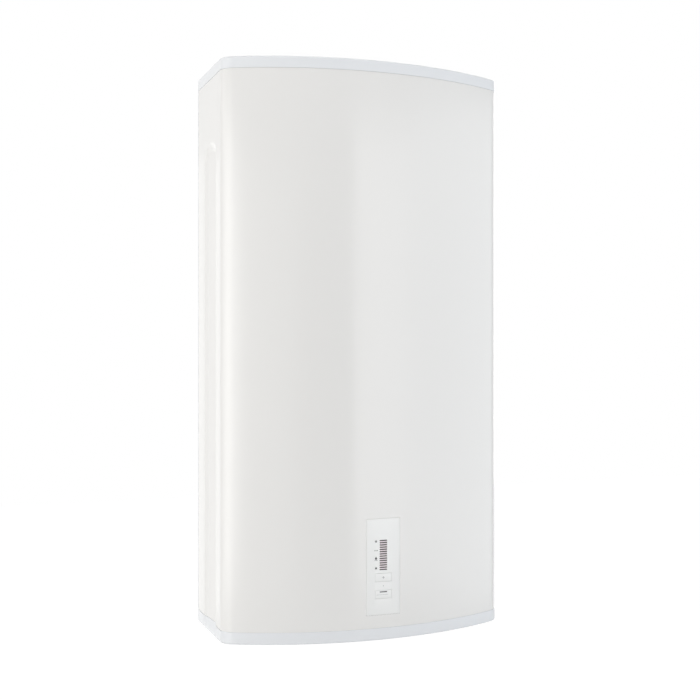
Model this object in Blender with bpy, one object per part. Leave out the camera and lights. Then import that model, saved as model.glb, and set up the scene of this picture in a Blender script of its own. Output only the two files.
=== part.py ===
"""Flat electric storage water heater for a wall, with two upright tanks side by side.

Metres, +Z up, +X to the right seen from the front, -Y towards the room. The origin is the middle
of the upper wall bracket's rear face, which lies on the wall. "Depth" below is measured from the
rear face of the casing towards the room, so a piece that sits deeper is further from the wall.
An "inset" is measured inwards from the outside of the casing's front or sides.
"""

from math import asin, cos, pi, sin, sqrt

import bmesh
import bpy
from mathutils import Matrix, Vector

# Casing, as measured outside
casing_height = 1.095
casing_width = 0.565
casing_depth = 0.297
front_radius = 0.5547
corner_radius = 0.036
sheet = 0.0008
return_flange = 0.015
rivet_pitch = 0.240
rivet_shank = 0.004

# Fits: the gap between pieces that touch, the seam seen round a cap, and how far a cutter runs over
gap = 0.0003
seam = 0.001
overrun = 0.004

# Channel pressed into each side, open at its lower end
channel_rear_rim = 0.014
channel_front_rim = 0.0347
channel_recess = 0.0085
channel_rear_slope = 0.007
channel_front_slope = 0.004
channel_below_top = 0.1425
channel_arch = 0.016
channel_ramp = 0.022

# Moulded caps
top_skirt = 0.0217
bottom_skirt = 0.0225
cap_proud = 0.001
cap_wall = 0.0025
cap_edge = 0.0025
tongue_wall = 0.002
tongue_height = 0.008
screw_diameter = 0.003
screw_head = 0.006
screw_tail = 0.003

# Wall brackets, hat shaped
wall_gap = 0.012
bracket_below_top = 0.185
lower_bracket_above_bottom = 0.230
bracket_steel = 0.002
bracket_flange = 0.016
upper_bracket_length = 0.400
upper_bracket_crown = 0.050
lower_bracket_length = 0.300
lower_bracket_crown = 0.026
keyhole_spacing = 0.300
keyhole_mouth = 0.018
keyhole_neck = 0.009
keyhole_rise = 0.018
fixing_hole_spacing = 0.220
fixing_hole = 0.009

# Tanks, as large as the insulation round them lets them be
tank_rear_cover = 0.018
tank_front_cover = 0.025
tank_side_cover = 0.016
tank_between = 0.044
tank_steel = 0.002
tank_dome = 0.045
tank_below_top = 0.037
service_height = 0.088
neck_diameter = 0.076
neck_steel = 0.004
neck_drop = 0.012
flange_lip = 0.014
flange_ring = 0.006
bolt_count = 6
bolt_diameter = 0.006
bolt_head = 0.010
bolt_head_height = 0.004
bolt_tail = 0.002

# What closes each tank and what its flange carries
gasket_thickness = 0.0025
closing_plate = 0.005
element_rod = 0.0085
element_leg_spacing = 0.026
element_height = 0.420
element_tail = 0.009
anode_rod = 0.021
anode_height = 0.300
anode_clearance = 0.010
anode_stud = 0.008
anode_nut = 0.013
anode_nut_height = 0.005
anode_stud_end = 0.0015
anode_from_neck = 0.003
pocket_diameter = 0.010
pocket_wall = 0.0014
pocket_height = 0.280
pocket_tail = 0.003
thermostat_width = 0.046
thermostat_length = 0.030
thermostat_height = 0.020
thermostat_corner = 0.003
probe_fit = 0.0005
probe_end_clearance = 0.0386

# Water pipes
pipe_diameter = 0.021
pipe_wall = 0.003
pipe_chamfer = 0.001
pipe_spacing = 0.100
pipe_below_casing = 0.020
inlet_above_tank_bottom = 0.075
outlet_below_tank_top = 0.040
ring_width = 0.006
ring_height = 0.004
ring_edge = 0.001
diffuser_wall = 0.0015
diffuser_grip = 0.010
diffuser_rise = 0.013
diffuser_window = 0.010
link_diameter = 0.027
link_wall = 0.002
link_from_dome = 0.030
link_in_tank = 0.006

# Service covers in the underside
cover_from_pipe = 0.0175
cover_length = 0.120
cover_corner = 0.012
cover_bearing = 0.008
cover_ledge = 0.003
ledge_rim = 0.003

# Supply cable entry
gland_depth = 0.075
gland_thread = 0.016
gland_bore = 0.009
gland_flange = 0.022
gland_flange_height = 0.005
gland_neck = 0.014
gland_neck_height = 0.008
gland_cap_wall = 0.003
gland_cap_height = 0.012
gland_lip = 0.002
lock_nut = 0.022
lock_nut_height = 0.004
gland_thread_end = 0.002
block_depth = 0.034
block_width = 0.046
block_length = 0.020
block_height = 0.018
block_ways = 3
block_port = 0.006
block_port_depth = 0.009

# Power electronics in a box behind the lower front
power_box_from_cover = 0.002
power_box_width = 0.132
power_box_length = 0.060
power_box_height = 0.044
power_box_wall = 0.002
power_board = 0.0016
power_board_post = 0.006
relay_width = 0.016
relay_length = 0.028
relay_height = 0.019
relay_spacing = 0.056

# Control panel in the lower front
panel_shift = 0.0083
panel_width = 0.0674
panel_height = 0.1817
panel_above_bottom = 0.0475
panel_proud = 0.0005
panel_thickness = 0.003
lug_width = 0.012
lug_reach = 0.0018
lug_thickness = 0.002
lug_root = 0.003
lug_spacing = 0.110
bar_count = 14
bar_width = 0.0146
bar_height = 0.0023
bar_pitch = 0.00423
bars_below_top = 0.0402
guide_base = 0.0016
guide_rim = 0.0012
key_width = 0.0324
key_height = 0.0156
key_below_bars = 0.0061
between_keys = 0.0163
key_travel = 0.0008
key_rim = 0.0012
key_rim_thickness = 0.001
key_stem = 0.005
key_stem_length = 0.0025
switch_width = 0.006
switch_height = 0.0036
plunger = 0.0034
plunger_rise = 0.0014
plunger_seat = 0.0012
board = 0.0016
housing_inset = 0.003
housing_wall = 0.002
housing_post = 0.005
housing_post_height = 0.005

# How finely the curves are drawn
front_steps = 10
corner_steps = 5
channel_steps = 3
ramp_steps = 5
edge_steps = 3
cover_corner_steps = 2
dome_steps = 4
bend_steps = 8
tank_sides = 20
pipe_sides = 16
screw_sides = 8
keyhole_steps = 12
straight = 1e-6

# Levels and places worked out from the sizes above
rear_face = -wall_gap
casing_top = bracket_below_top
casing_bottom = casing_top - casing_height
lower_bracket_z = casing_bottom + lower_bracket_above_bottom
top_seam = casing_top - top_skirt
bottom_seam = casing_bottom + bottom_skirt
shell_low = bottom_seam + seam
shell_high = top_seam - seam
floor_top = casing_bottom + cap_wall
half_width = casing_width / 2
front_centre = casing_depth - front_radius
corner_x = half_width - corner_radius
corner_depth = front_centre + sqrt((front_radius - corner_radius) ** 2 - corner_x ** 2)
corner_turn = asin(corner_x / (front_radius - corner_radius))
channel_width = corner_depth - channel_rear_rim - channel_front_rim
shell_inside = sheet + gap
behind_flange = 2 * (sheet + gap)
widest_tank = (casing_width - tank_between) / 2 - tank_side_cover - channel_recess
front_at_tank = front_centre + sqrt(front_radius ** 2 - ((widest_tank + tank_between) / 2) ** 2)
tank_diameter = min(widest_tank, front_at_tank - tank_rear_cover - tank_front_cover)
tank_radius = tank_diameter / 2
tank_depth = tank_rear_cover + tank_radius
tank_x = tank_radius + tank_between / 2
cover_width = 2 * (tank_x - (pipe_spacing + pipe_diameter) / 2 - cover_from_pipe)
tank_top = casing_top - tank_below_top
tank_bottom = casing_bottom + service_height
ring_face = tank_bottom - neck_drop
neck_bore = neck_diameter / 2 - neck_steel
flange_radius = neck_diameter / 2 + flange_lip
bolt_reach = (neck_diameter / 2 + flange_radius) / 2
fitting_offset = neck_bore - anode_from_neck - anode_rod / 2
plate_top = ring_face - gasket_thickness - 2 * gap
plate_bottom = plate_top - closing_plate
anode_tail = anode_nut_height + gap + anode_stud_end
probe_radius = pocket_diameter / 2 - pocket_wall - probe_fit
thermostat_top = plate_bottom - max(element_tail, anode_tail) - gap
power_box_rear = tank_depth + cover_length / 2 + ledge_rim + power_box_from_cover
foam_top = top_seam - tongue_height - gap
panel_middle = casing_bottom + panel_above_bottom + panel_height / 2
panel_back = panel_thickness - panel_proud

for thing in list(bpy.data.objects):
    bpy.data.objects.remove(thing)


def y_at(depth):
    """World Y of a depth measured from the casing's rear face."""
    return rear_face - depth


def made(name, shape, smooth=False):
    """Turns a bmesh into an object whose faces point outwards."""
    bmesh.ops.recalc_face_normals(shape, faces=shape.faces)
    mesh = bpy.data.meshes.new(name)
    shape.to_mesh(mesh)
    shape.free()
    item = bpy.data.objects.new(name, mesh)
    bpy.context.scene.collection.objects.link(item)
    if smooth:
        item.data.shade_smooth()
        item.data.set_sharp_from_angle(angle=pi / 5)
    return item


def finish(item, colour, roughness, metallic=0.0):
    """Gives an object its own material."""
    paint = bpy.data.materials.new(item.name)
    paint.use_nodes = True
    shader = paint.node_tree.nodes["Principled BSDF"]
    shader.inputs["Base Color"].default_value = (*colour, 1.0)
    shader.inputs["Roughness"].default_value = roughness
    shader.inputs["Metallic"].default_value = metallic
    item.data.materials.append(paint)
    return item


def combine(item, operation, shape):
    """Takes a bmesh's shape out of an object, or fuses it to the object."""
    tool = made(item.name + "_" + operation.lower() + str(len(item.modifiers)), shape)
    tool.hide_render = True
    tool.display_type = "WIRE"
    modifier = item.modifiers.new(tool.name, "BOOLEAN")
    modifier.operation = operation
    modifier.solver = "EXACT"
    modifier.object = tool


def cut(item, shape):
    combine(item, "DIFFERENCE", shape)


def fuse(item, shape):
    combine(item, "UNION", shape)


def skin(shape, rows, around=True, ends=True):
    """Joins rows of equally many vertices with faces, and closes the first and last row."""
    count = len(rows[0])
    for low, high in zip(rows, rows[1:]):
        for i in range(count if around else count - 1):
            k = (i + 1) % count
            shape.faces.new((low[i], low[k], high[k], high[i]))
    if ends:
        shape.faces.new(rows[0][::-1])
        shape.faces.new(rows[-1])


def off_plane(face):
    """How far a four-sided face's last corner lies off the plane of its other three."""
    first, second, third, last = [vert.co for vert in face.verts]
    return abs((last - first).dot((second - first).cross(third - first).normalized()))


def loft(rings, ends=True):
    """A bmesh skinned over loops of equally many points.

    Twisted faces are split along the diagonal that lies further out to the side, so that faces
    a gap apart stay apart.
    """
    shape = bmesh.new()
    skin(shape, [[shape.verts.new(point) for point in ring] for ring in rings], ends=ends)
    for face in [face for face in shape.faces if len(face.verts) == 4 and off_plane(face) > gap / 100]:
        first, second, third, last = face.verts
        if abs(first.co.x + third.co.x) > abs(second.co.x + last.co.x):
            bmesh.utils.face_split(face, first, third)
        else:
            bmesh.utils.face_split(face, second, last)
    return shape


def add_box(shape, low, high):
    """Adds a box between two corners to a bmesh."""
    low, high = Vector(low), Vector(high)
    place = Matrix.Translation((low + high) / 2) @ Matrix.Diagonal((*(high - low), 1.0))
    bmesh.ops.create_cube(shape, size=1.0, matrix=place)


def box(low, high):
    shape = bmesh.new()
    add_box(shape, low, high)
    return shape


def add_block(shape, x, z, width, height, front, back):
    """Adds a box with its middle at x and z, between two depths, to a bmesh."""
    add_box(shape, (x - width / 2, y_at(front), z - height / 2), (x + width / 2, y_at(back), z + height / 2))


def block(x, z, width, height, front, back):
    shape = bmesh.new()
    add_block(shape, x, z, width, height, front, back)
    return shape


def circle_rows(shape, start, stations, sides):
    """Rows of vertices round a line from start, at (vector along it, radius) stations."""
    along = (stations[-1][0] - stations[0][0]).normalized()
    across = along.orthogonal().normalized()
    over = along.cross(across)
    rows = []
    for offset, radius in stations:
        row = []
        for i in range(sides):
            angle = 2 * pi * i / sides
            row.append(shape.verts.new(start + offset + (across * cos(angle) + over * sin(angle)) * radius))
        rows.append(row)
    return rows


def add_rod(shape, radius, start, end, sides=pipe_sides):
    """Adds a round rod between two points to a bmesh."""
    start, end = Vector(start), Vector(end)
    skin(shape, circle_rows(shape, start, [(Vector(), radius), (end - start, radius)], sides))


def rod(radius, start, end, sides=pipe_sides):
    shape = bmesh.new()
    add_rod(shape, radius, start, end, sides)
    return shape


def add_upright(shape, radius, x, depth, low, high, sides=pipe_sides):
    """Adds an upright rod between two heights to a bmesh."""
    add_rod(shape, radius, (x, y_at(depth), low), (x, y_at(depth), high), sides)


def add_inward(shape, radius, x, z, front, back):
    """Adds a thin rod that runs from the room towards the wall, between two depths, to a bmesh."""
    add_rod(shape, radius, (x, y_at(front), z), (x, y_at(back), z), screw_sides)


def add_tube(shape, start, end, radius, bore, sides=pipe_sides):
    """Adds a round tube with an open bore between two points to a bmesh."""
    start, end = Vector(start), Vector(end)
    outside = circle_rows(shape, start, [(Vector(), radius), (end - start, radius)], sides)
    inside = circle_rows(shape, start, [(Vector(), bore), (end - start, bore)], sides)
    skin(shape, [outside[0], outside[1], inside[1], inside[0], outside[0]], ends=False)


def add_hexagon(shape, width, start, end):
    """Adds a hexagonal prism of a given width across its flats to a bmesh."""
    add_rod(shape, width / sqrt(3), start, end, sides=6)


def add_rounded(shape, x, depth, levels):
    """Adds an upright block with round corners, from (z, width, length, corner radius) levels."""
    rows = []
    for z, width, length, radius in levels:
        row = []
        for quarter in range(4):
            way_x = 1 if quarter in (0, 3) else -1
            way_y = 1 if quarter in (0, 1) else -1
            y = y_at(depth) + way_y * (length / 2 - radius)
            middle = Vector((x + way_x * (width / 2 - radius), y, z))
            for i in range(cover_corner_steps + 1):
                angle = pi / 2 * (quarter + i / cover_corner_steps)
                row.append(shape.verts.new(middle + Vector((cos(angle), sin(angle), 0)) * radius))
        rows.append(row)
    skin(shape, rows)


def turned(name, profile, x, depth, sides):
    """Turns a closed profile of (radius, z) points about an upright axis at x and depth."""
    shape = bmesh.new()
    points = [shape.verts.new((radius, 0.0, z)) for radius, z in profile]
    pairs = zip(points, points[1:] + points[:1])
    edges = [shape.edges.new(pair) for pair in pairs if pair[0].co.x > 0 or pair[1].co.x > 0]
    bmesh.ops.spin(shape, geom=points + edges, cent=(0, 0, 0), axis=(0, 0, 1), angle=2 * pi,
                   steps=sides, use_merge=True)
    bmesh.ops.remove_doubles(shape, verts=shape.verts, dist=gap / 100)
    item = made(name, shape, smooth=True)
    item.location = (x, y_at(depth), 0)
    return item


def turned_tool(profile, x, depth, sides):
    """The same as a bmesh in world coordinates, for a cut."""
    item = turned("turned_tool", profile, x, depth, sides)
    shape = bmesh.new()
    shape.from_mesh(item.data)
    shape.transform(Matrix.Translation(item.location))
    bpy.data.objects.remove(item)
    return shape


def recess_at(along, z):
    """How far the side channel is pressed in, at a place along its width and at height z."""
    if z is None:
        return 0.0
    side = min(along / channel_rear_slope, (channel_width - along) / channel_front_slope, 1.0)
    off_middle = (along - channel_width / 2) / (channel_width / 2)
    edge = casing_top - channel_below_top - channel_arch * off_middle ** 2
    ramp = min(max((edge - z) / channel_ramp, 0.0), 1.0)
    return channel_recess * min(max(side, 0.0), ramp * ramp * (3 - 2 * ramp))


def casing_plan(z=None):
    """Outside of the casing at height z as (x, depth), from the right rear corner round the front.

    Without a height the side channels are left out, with as many points.
    """
    floor = channel_width - channel_rear_slope - channel_front_slope
    stops = [channel_rear_slope + floor * i / channel_steps for i in range(channel_steps + 1)]
    right = [(half_width, 0.0)]
    for stop in [0.0, *stops, channel_width]:
        right.append((half_width - recess_at(stop, z), channel_rear_rim + stop))
    for i in range(corner_steps + 1):
        angle = pi / 2 + (corner_turn - pi / 2) * i / corner_steps
        right.append((corner_x + corner_radius * sin(angle), corner_depth + corner_radius * cos(angle)))
    for i in range(1, front_steps + 1):
        x = front_radius * sin(corner_turn * (1 - i / front_steps))
        right.append((x, front_depth(x)))
    return right + [(-x, depth) for x, depth in reversed(right[:-1])]


def inset_plan(points, wall, back):
    """Moves a closed plan inwards, by wall all round but by back along its last edge."""
    moved = []
    for i in range(len(points)):
        before, here, after = Vector(points[i - 1]), Vector(points[i]), Vector(points[(i + 1) % len(points)])
        first, second = (here - before).normalized(), (after - here).normalized()
        first_in, second_in = Vector((-first.y, first.x)), Vector((-second.y, second.x))
        first_step = back if i == 0 else wall
        second_step = back if i == len(points) - 1 else wall
        turn = first_in.x * second_in.y - first_in.y * second_in.x
        if abs(turn) < straight:
            moved.append(here + first_in * first_step)
        else:
            moved.append(here + Vector((first_step * second_in.y - second_step * first_in.y,
                                        second_step * first_in.x - first_step * second_in.x)) / turn)
    return moved


def ring_at(z, wall, back, channel=False):
    """The casing's plan as a loop of world points at height z."""
    plan = inset_plan(casing_plan(z if channel else None), wall, back)
    return [(x, y_at(depth), z) for x, depth in plan]


def channel_levels(low, high):
    """Heights for a piece that follows the side channels, close together where they end."""
    ramp_top = casing_top - channel_below_top
    ramp = channel_arch + channel_ramp
    return [low] + [ramp_top - ramp * (1 - i / ramp_steps) for i in range(ramp_steps + 1)] + [high]


def front_depth(x, inset=0.0):
    """Depth of the casing's front at x, for a surface inset from the outside."""
    return front_centre + sqrt((front_radius - inset) ** 2 - x ** 2)


def front_slab(x_low, x_high, z_low, z_high, outer, inner=None, flat_back=None, steps=4):
    """A slab that follows the front's curve between two insets, or runs back to a flat depth."""
    places = [x_low + (x_high - x_low) * i / steps for i in range(steps + 1)]
    face = [(x, y_at(front_depth(x, outer))) for x in places]
    back = [(x, y_at(flat_back if inner is None else front_depth(x, inner))) for x in reversed(places)]
    return loft([[(x, y, z) for x, y in face + back] for z in (z_low, z_high)])


# Casing: one steel sheet bent round the front and sides and turned in at the back, riveted to a rear panel


def rivet_places():
    """Rivets along both return flanges, as (x, z)."""
    run = shell_high - shell_low - 2 * return_flange
    count = max(int(run / rivet_pitch), 1)
    x = half_width - return_flange / 2
    levels = [shell_low + return_flange + run * i / count for i in range(count + 1)]
    return [(side * x, z) for side in (-1, 1) for z in levels]


def cap_screw_places(seam_z, inwards):
    """Rear screws through the rear panel into a cap's tongue, as (x, z)."""
    x = half_width - 2 * return_flange - screw_head
    return [(side * x, seam_z + inwards * (seam + tongue_height) / 2) for side in (-1, 0, 1)]


def make_front_shell():
    flange_x = half_width - return_flange
    rows = []
    for z in channel_levels(shell_low, shell_high):
        plan = casing_plan(z)
        outer = inset_plan(plan, 0.0, sheet + gap)
        inner = inset_plan(plan, sheet, 2 * sheet + gap)
        outer = [Vector((flange_x, sheet + gap)), *outer, Vector((-flange_x, sheet + gap))]
        inner = [Vector((flange_x, 2 * sheet + gap)), *inner, Vector((-flange_x, 2 * sheet + gap))]
        rows.append([(point.x, y_at(point.y), z) for point in outer + inner[::-1]])
    shape = loft(rows, ends=False)
    shape.verts.ensure_lookup_table()
    count = len(rows[0])
    for start in (0, len(shape.verts) - count):
        loop = shape.verts[start:start + count]
        for i in range(count // 2 - 1):
            shape.faces.new((loop[i], loop[i + 1], loop[count - 2 - i], loop[count - 1 - i]))
    shell = made("front_shell", shape, smooth=True)
    cut(shell, block(panel_shift, panel_middle, panel_width + 2 * gap, panel_height + 2 * gap,
                     casing_depth + overrun, corner_depth))
    holes = bmesh.new()
    for x, z in rivet_places():
        add_inward(holes, rivet_shank / 2 + gap, x, z, behind_flange + overrun, 0.0)
    cut(shell, holes)
    finish(shell, (0.86, 0.855, 0.84), 0.32)


def make_back_panel():
    panel = made("back_panel", block(0.0, (shell_low + shell_high) / 2, casing_width, shell_high - shell_low,
                                     sheet, 0.0))
    holes = bmesh.new()
    for x, z in rivet_places():
        add_inward(holes, rivet_shank / 2 + gap, x, z, sheet + overrun, -overrun)
    for x, z in cap_screw_places(top_seam, -1) + cap_screw_places(bottom_seam, 1):
        add_inward(holes, screw_diameter / 2 + gap, x, z, sheet + overrun, -overrun)
    cut(panel, holes)
    finish(panel, (0.60, 0.61, 0.62), 0.42, 0.8)


# Caps: moulded lids lofted from the casing's plan, each with a tongue that stands inside the sheet


def cap_edge_rings(z, up):
    """Rings of a cap's rounded edge, from its flat face to its skirt."""
    rings = []
    for i in range(edge_steps + 1):
        angle = pi / 2 * i / edge_steps
        side = cap_edge * (1 - sin(angle))
        rings.append(ring_at(z - up * cap_edge * (1 - cos(angle)), side - cap_proud, side))
    return rings


def screw_holes(shape, places):
    """Adds holes for the rear screws through a cap's tongue."""
    for x, z in places:
        add_inward(shape, screw_diameter / 2 + gap, x, z, behind_flange + tongue_wall + overrun,
                   behind_flange - overrun)


def make_top_cap():
    inside = shell_inside + tongue_wall
    behind = behind_flange + tongue_wall
    rings = cap_edge_rings(casing_top, 1)
    rings.append(ring_at(top_seam, -cap_proud, 0.0))
    rings.append(ring_at(top_seam, shell_inside, behind_flange))
    rings.append(ring_at(top_seam - tongue_height, shell_inside, behind_flange))
    rings.append(ring_at(top_seam - tongue_height, inside, behind))
    rings.append(ring_at(casing_top - cap_wall, inside, behind))
    cap = made("top_cap", loft(rings), smooth=True)
    holes = bmesh.new()
    screw_holes(holes, cap_screw_places(top_seam, -1))
    cut(cap, holes)
    finish(cap, (0.83, 0.85, 0.87), 0.38)


def cover_screw_places():
    """Screws of one service cover, from its middle, as (x, depth)."""
    reach_x = cover_width / 2 - cover_bearing / 2
    reach_y = cover_length / 2 - cover_corner - cover_bearing / 2
    return [(side * reach_x, end * reach_y) for side in (-1, 1) for end in (-1, 1)]


def make_bottom_cap():
    inside = shell_inside + tongue_wall
    behind = behind_flange + tongue_wall
    tongue_top = bottom_seam + tongue_height
    bearing = floor_top - 2 * gap
    ledge_top = floor_top + cover_ledge
    rings = cap_edge_rings(casing_bottom, -1)
    rings.append(ring_at(bottom_seam, -cap_proud, 0.0))
    rings.append(ring_at(bottom_seam, shell_inside, behind_flange, channel=True))
    rings.append(ring_at(tongue_top, shell_inside, behind_flange, channel=True))
    rings.append(ring_at(tongue_top, inside, behind, channel=True))
    rings.append(ring_at(floor_top, inside, behind, channel=True))
    cap = made("bottom_cap", loft(rings), smooth=True)
    ledges, openings, holes = bmesh.new(), bmesh.new(), bmesh.new()
    low, high = casing_bottom - overrun, floor_top + overrun
    for side in (-1, 1):
        x = side * tank_x
        rim = cover_width + 2 * ledge_rim, cover_length + 2 * ledge_rim, cover_corner + ledge_rim
        full = cover_width + 2 * gap, cover_length + 2 * gap, cover_corner + gap
        clear = cover_width - 2 * cover_bearing, cover_length - 2 * cover_bearing, cover_corner / 2
        add_rounded(ledges, x, tank_depth, [(floor_top - cap_wall / 2, *rim), (ledge_top, *rim)])
        add_rounded(openings, x, tank_depth, [(low, *full), (bearing, *full), (bearing, *clear),
                                              (ledge_top + overrun, *clear)])
        add_upright(openings, pipe_diameter / 2 + gap, side * pipe_spacing / 2, tank_depth, low, high)
        for off_x, off_depth in cover_screw_places():
            add_upright(holes, screw_diameter / 2 + gap, x + off_x, tank_depth + off_depth,
                        bearing - overrun / 4, ledge_top + overrun, screw_sides)
    add_upright(openings, gland_thread / 2 + gap, 0.0, gland_depth, low, high)
    screw_holes(holes, cap_screw_places(bottom_seam, 1))
    fuse(cap, ledges)
    cut(cap, openings)
    cut(cap, holes)
    finish(cap, (0.82, 0.83, 0.84), 0.38)


def make_service_covers():
    for name, side in (("service_cover_left", -1), ("service_cover_right", 1)):
        shape, holes = bmesh.new(), bmesh.new()
        size = cover_width, cover_length, cover_corner
        add_rounded(shape, side * tank_x, tank_depth, [(casing_bottom, *size), (floor_top - 3 * gap, *size)])
        for off_x, off_depth in cover_screw_places():
            add_upright(holes, screw_diameter / 2 + gap, side * tank_x + off_x, tank_depth + off_depth,
                        casing_bottom - overrun, floor_top + overrun, screw_sides)
        cover = made(name, shape)
        cut(cover, holes)
        finish(cover, (0.82, 0.83, 0.84), 0.40)


# Wall brackets: hat-shaped strips welded to the rear panel, the upper one hung from two wall screws


def hat_strip(name, middle_z, length, crown):
    """A strip with flanges on the rear panel and a crown against the wall."""
    deep = wall_gap - gap
    half, foot = crown / 2, crown / 2 + bracket_flange
    outline = [(-foot, -deep), (-half + bracket_steel, -deep), (-half + bracket_steel, -bracket_steel),
               (half - bracket_steel, -bracket_steel), (half - bracket_steel, -deep), (foot, -deep),
               (foot, bracket_steel - deep), (half, bracket_steel - deep), (half, 0.0),
               (-half, 0.0), (-half, bracket_steel - deep), (-foot, bracket_steel - deep)]
    shape = loft([[(x, y, middle_z + z) for z, y in outline] for x in (-length / 2, length / 2)])
    strip = made(name, shape)
    finish(strip, (0.62, 0.63, 0.64), 0.38, 0.85)
    return strip


def keyhole(x, z):
    """A keyhole through the crown: a round mouth for the screw head and a neck above it."""
    mouth, neck = keyhole_mouth / 2, keyhole_neck / 2
    first = asin(neck / mouth)
    outline = []
    for i in range(keyhole_steps + 1):
        angle = first + (2 * pi - 2 * first) * i / keyhole_steps
        outline.append((x + mouth * sin(angle), z + mouth * cos(angle)))
    for i in range(keyhole_steps // 2 + 1):
        angle = pi * i / (keyhole_steps // 2)
        outline.append((x - neck * cos(angle), z + keyhole_rise + neck * sin(angle)))
    return [[(px, y, pz) for px, pz in outline] for y in (-bracket_steel - overrun / 2, overrun)]


def make_brackets():
    upper = hat_strip("upper_bracket", 0.0, upper_bracket_length, upper_bracket_crown)
    holes = bmesh.new()
    for side in (-1, 1):
        rows = keyhole(side * keyhole_spacing / 2, -keyhole_rise / 2)
        skin(holes, [[holes.verts.new(point) for point in row] for row in rows])
    cut(upper, holes)
    lower = hat_strip("lower_bracket", lower_bracket_z, lower_bracket_length, lower_bracket_crown)
    holes = bmesh.new()
    for side in (-1, 1):
        x = side * fixing_hole_spacing / 2
        start, end = (x, -bracket_steel - overrun / 2, lower_bracket_z), (x, overrun, lower_bracket_z)
        add_rod(holes, fixing_hole / 2, start, end)
    cut(lower, holes)


# Tanks: two enamelled cylinders with domed ends, each with a bolted flange on a short neck underneath


def dome(radius, height, centre_z, way, reach_low=0.0):
    """Points of an elliptical dome from its rim to its pole, or to where it meets a neck."""
    last = pi / 2 if reach_low == 0.0 else pi / 2 - asin(reach_low / radius)
    return [(radius * cos(last * i / dome_steps) if i < dome_steps or reach_low else 0.0,
             centre_z + way * height * sin(last * i / dome_steps)) for i in range(dome_steps + 1)]


def tank_outside(grow=0.0):
    """Outer profile of a tank from the top pole down to its neck, grown by a clearance."""
    rim_high, rim_low = tank_top - tank_dome, tank_bottom + tank_dome
    neck = neck_diameter / 2 + grow
    upper = dome(tank_radius + grow, tank_dome + grow, rim_high, 1)[::-1]
    lower = dome(tank_radius + grow, tank_dome + grow, rim_low, -1, neck)
    return upper + lower


def make_tanks():
    neck, bore = neck_diameter / 2, neck_bore
    inner, inner_dome = tank_radius - tank_steel, tank_dome - tank_steel
    rim_high, rim_low = tank_top - tank_dome, tank_bottom + tank_dome
    ring_top, lip = ring_face + flange_ring, flange_radius
    profile = tank_outside()
    profile += [(neck, ring_top), (lip, ring_top), (lip, ring_face), (bore, ring_face)]
    profile += dome(inner, inner_dome, rim_low, -1, bore)[::-1] + dome(inner, inner_dome, rim_high, 1)
    for name, side in (("tank_left", -1), ("tank_right", 1)):
        tank = turned(name, profile, side * tank_x, tank_depth, tank_sides)
        holes = bmesh.new()
        add_upright(holes, pipe_diameter / 2 + gap, side * pipe_spacing / 2, tank_depth,
                    tank_bottom - overrun, rim_low + overrun)
        for z in link_levels():
            axis = (0, y_at(tank_depth), z), (side * tank_x, y_at(tank_depth), z)
            add_rod(holes, link_diameter / 2 + gap, *axis)
        cut(tank, holes)
        cut(tank, bolt_holes(side, ring_face - overrun, ring_top + overrun / 2))
        finish(tank, (0.30, 0.34, 0.40), 0.45, 0.3)


def link_levels():
    """Heights of the two pipes that join the tanks."""
    return (tank_bottom + tank_dome + link_from_dome, tank_top - tank_dome - link_from_dome)


def make_link_pipes():
    end = tank_x - tank_radius + tank_steel + link_in_tank
    for name, z in zip(("lower_link_pipe", "upper_link_pipe"), link_levels()):
        shape = bmesh.new()
        add_tube(shape, (-end, y_at(tank_depth), z), (end, y_at(tank_depth), z),
                 link_diameter / 2, link_diameter / 2 - link_wall)
        finish(made(name, shape, smooth=True), (0.45, 0.46, 0.48), 0.3, 0.9)


def make_insulation():
    levels = channel_levels(tank_bottom, foam_top)
    rings = [ring_at(z, shell_inside, behind_flange, channel=True) for z in levels]
    foam = made("insulation_foam", loft(rings), smooth=True)
    for side in (-1, 1):
        profile = tank_outside(gap)
        profile += [(neck_diameter / 2 + gap, tank_bottom - overrun), (0.0, tank_bottom - overrun)]
        cut(foam, turned_tool(profile, side * tank_x, tank_depth, tank_sides))
    pipes = bmesh.new()
    for z in link_levels():
        add_rod(pipes, link_diameter / 2 + gap, (-tank_x, y_at(tank_depth), z), (tank_x, y_at(tank_depth), z))
    for side in (-1, 1):
        add_upright(pipes, pipe_diameter / 2 + gap, side * pipe_spacing / 2, tank_depth,
                    tank_bottom - overrun, tank_bottom + tank_dome)
    reach = panel_width / 2 + 2 * gap + lug_reach
    add_box(pipes, (panel_shift - reach, y_at(casing_depth + overrun), tank_bottom - overrun),
            (panel_shift + reach, y_at(housing_back() - gap), panel_middle + panel_height / 2 + gap))
    cut(foam, pipes)
    finish(foam, (0.85, 0.78, 0.55), 0.9)
    inside = shell_inside + tongue_wall + gap
    behind = behind_flange + tongue_wall + gap
    levels = foam_top + gap, casing_top - cap_wall - gap
    pad = made("top_pad", loft([ring_at(z, inside, behind) for z in levels]))
    notches = bmesh.new()
    for x, z in cap_screw_places(top_seam, -1):
        add_block(notches, x, z, screw_head, screw_head, behind + 2 * screw_tail, 0.0)
    cut(pad, notches)
    finish(pad, (0.93, 0.93, 0.92), 0.9)


# What closes each tank: a gasket, a bolted plate, a looped heating rod, an anode and a thermostat


def bolt_places(side):
    """World (x, y) of a flange's bolts."""
    x, y = side * tank_x, y_at(tank_depth)
    turns = [2 * pi * (i + 0.5) / bolt_count for i in range(bolt_count)]
    return [(x + bolt_reach * cos(turn), y + bolt_reach * sin(turn)) for turn in turns]


def bolt_holes(side, low, high):
    shape = bmesh.new()
    for x, y in bolt_places(side):
        add_rod(shape, bolt_diameter / 2 + gap, (x, y, low), (x, y, high), screw_sides)
    return shape


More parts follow.
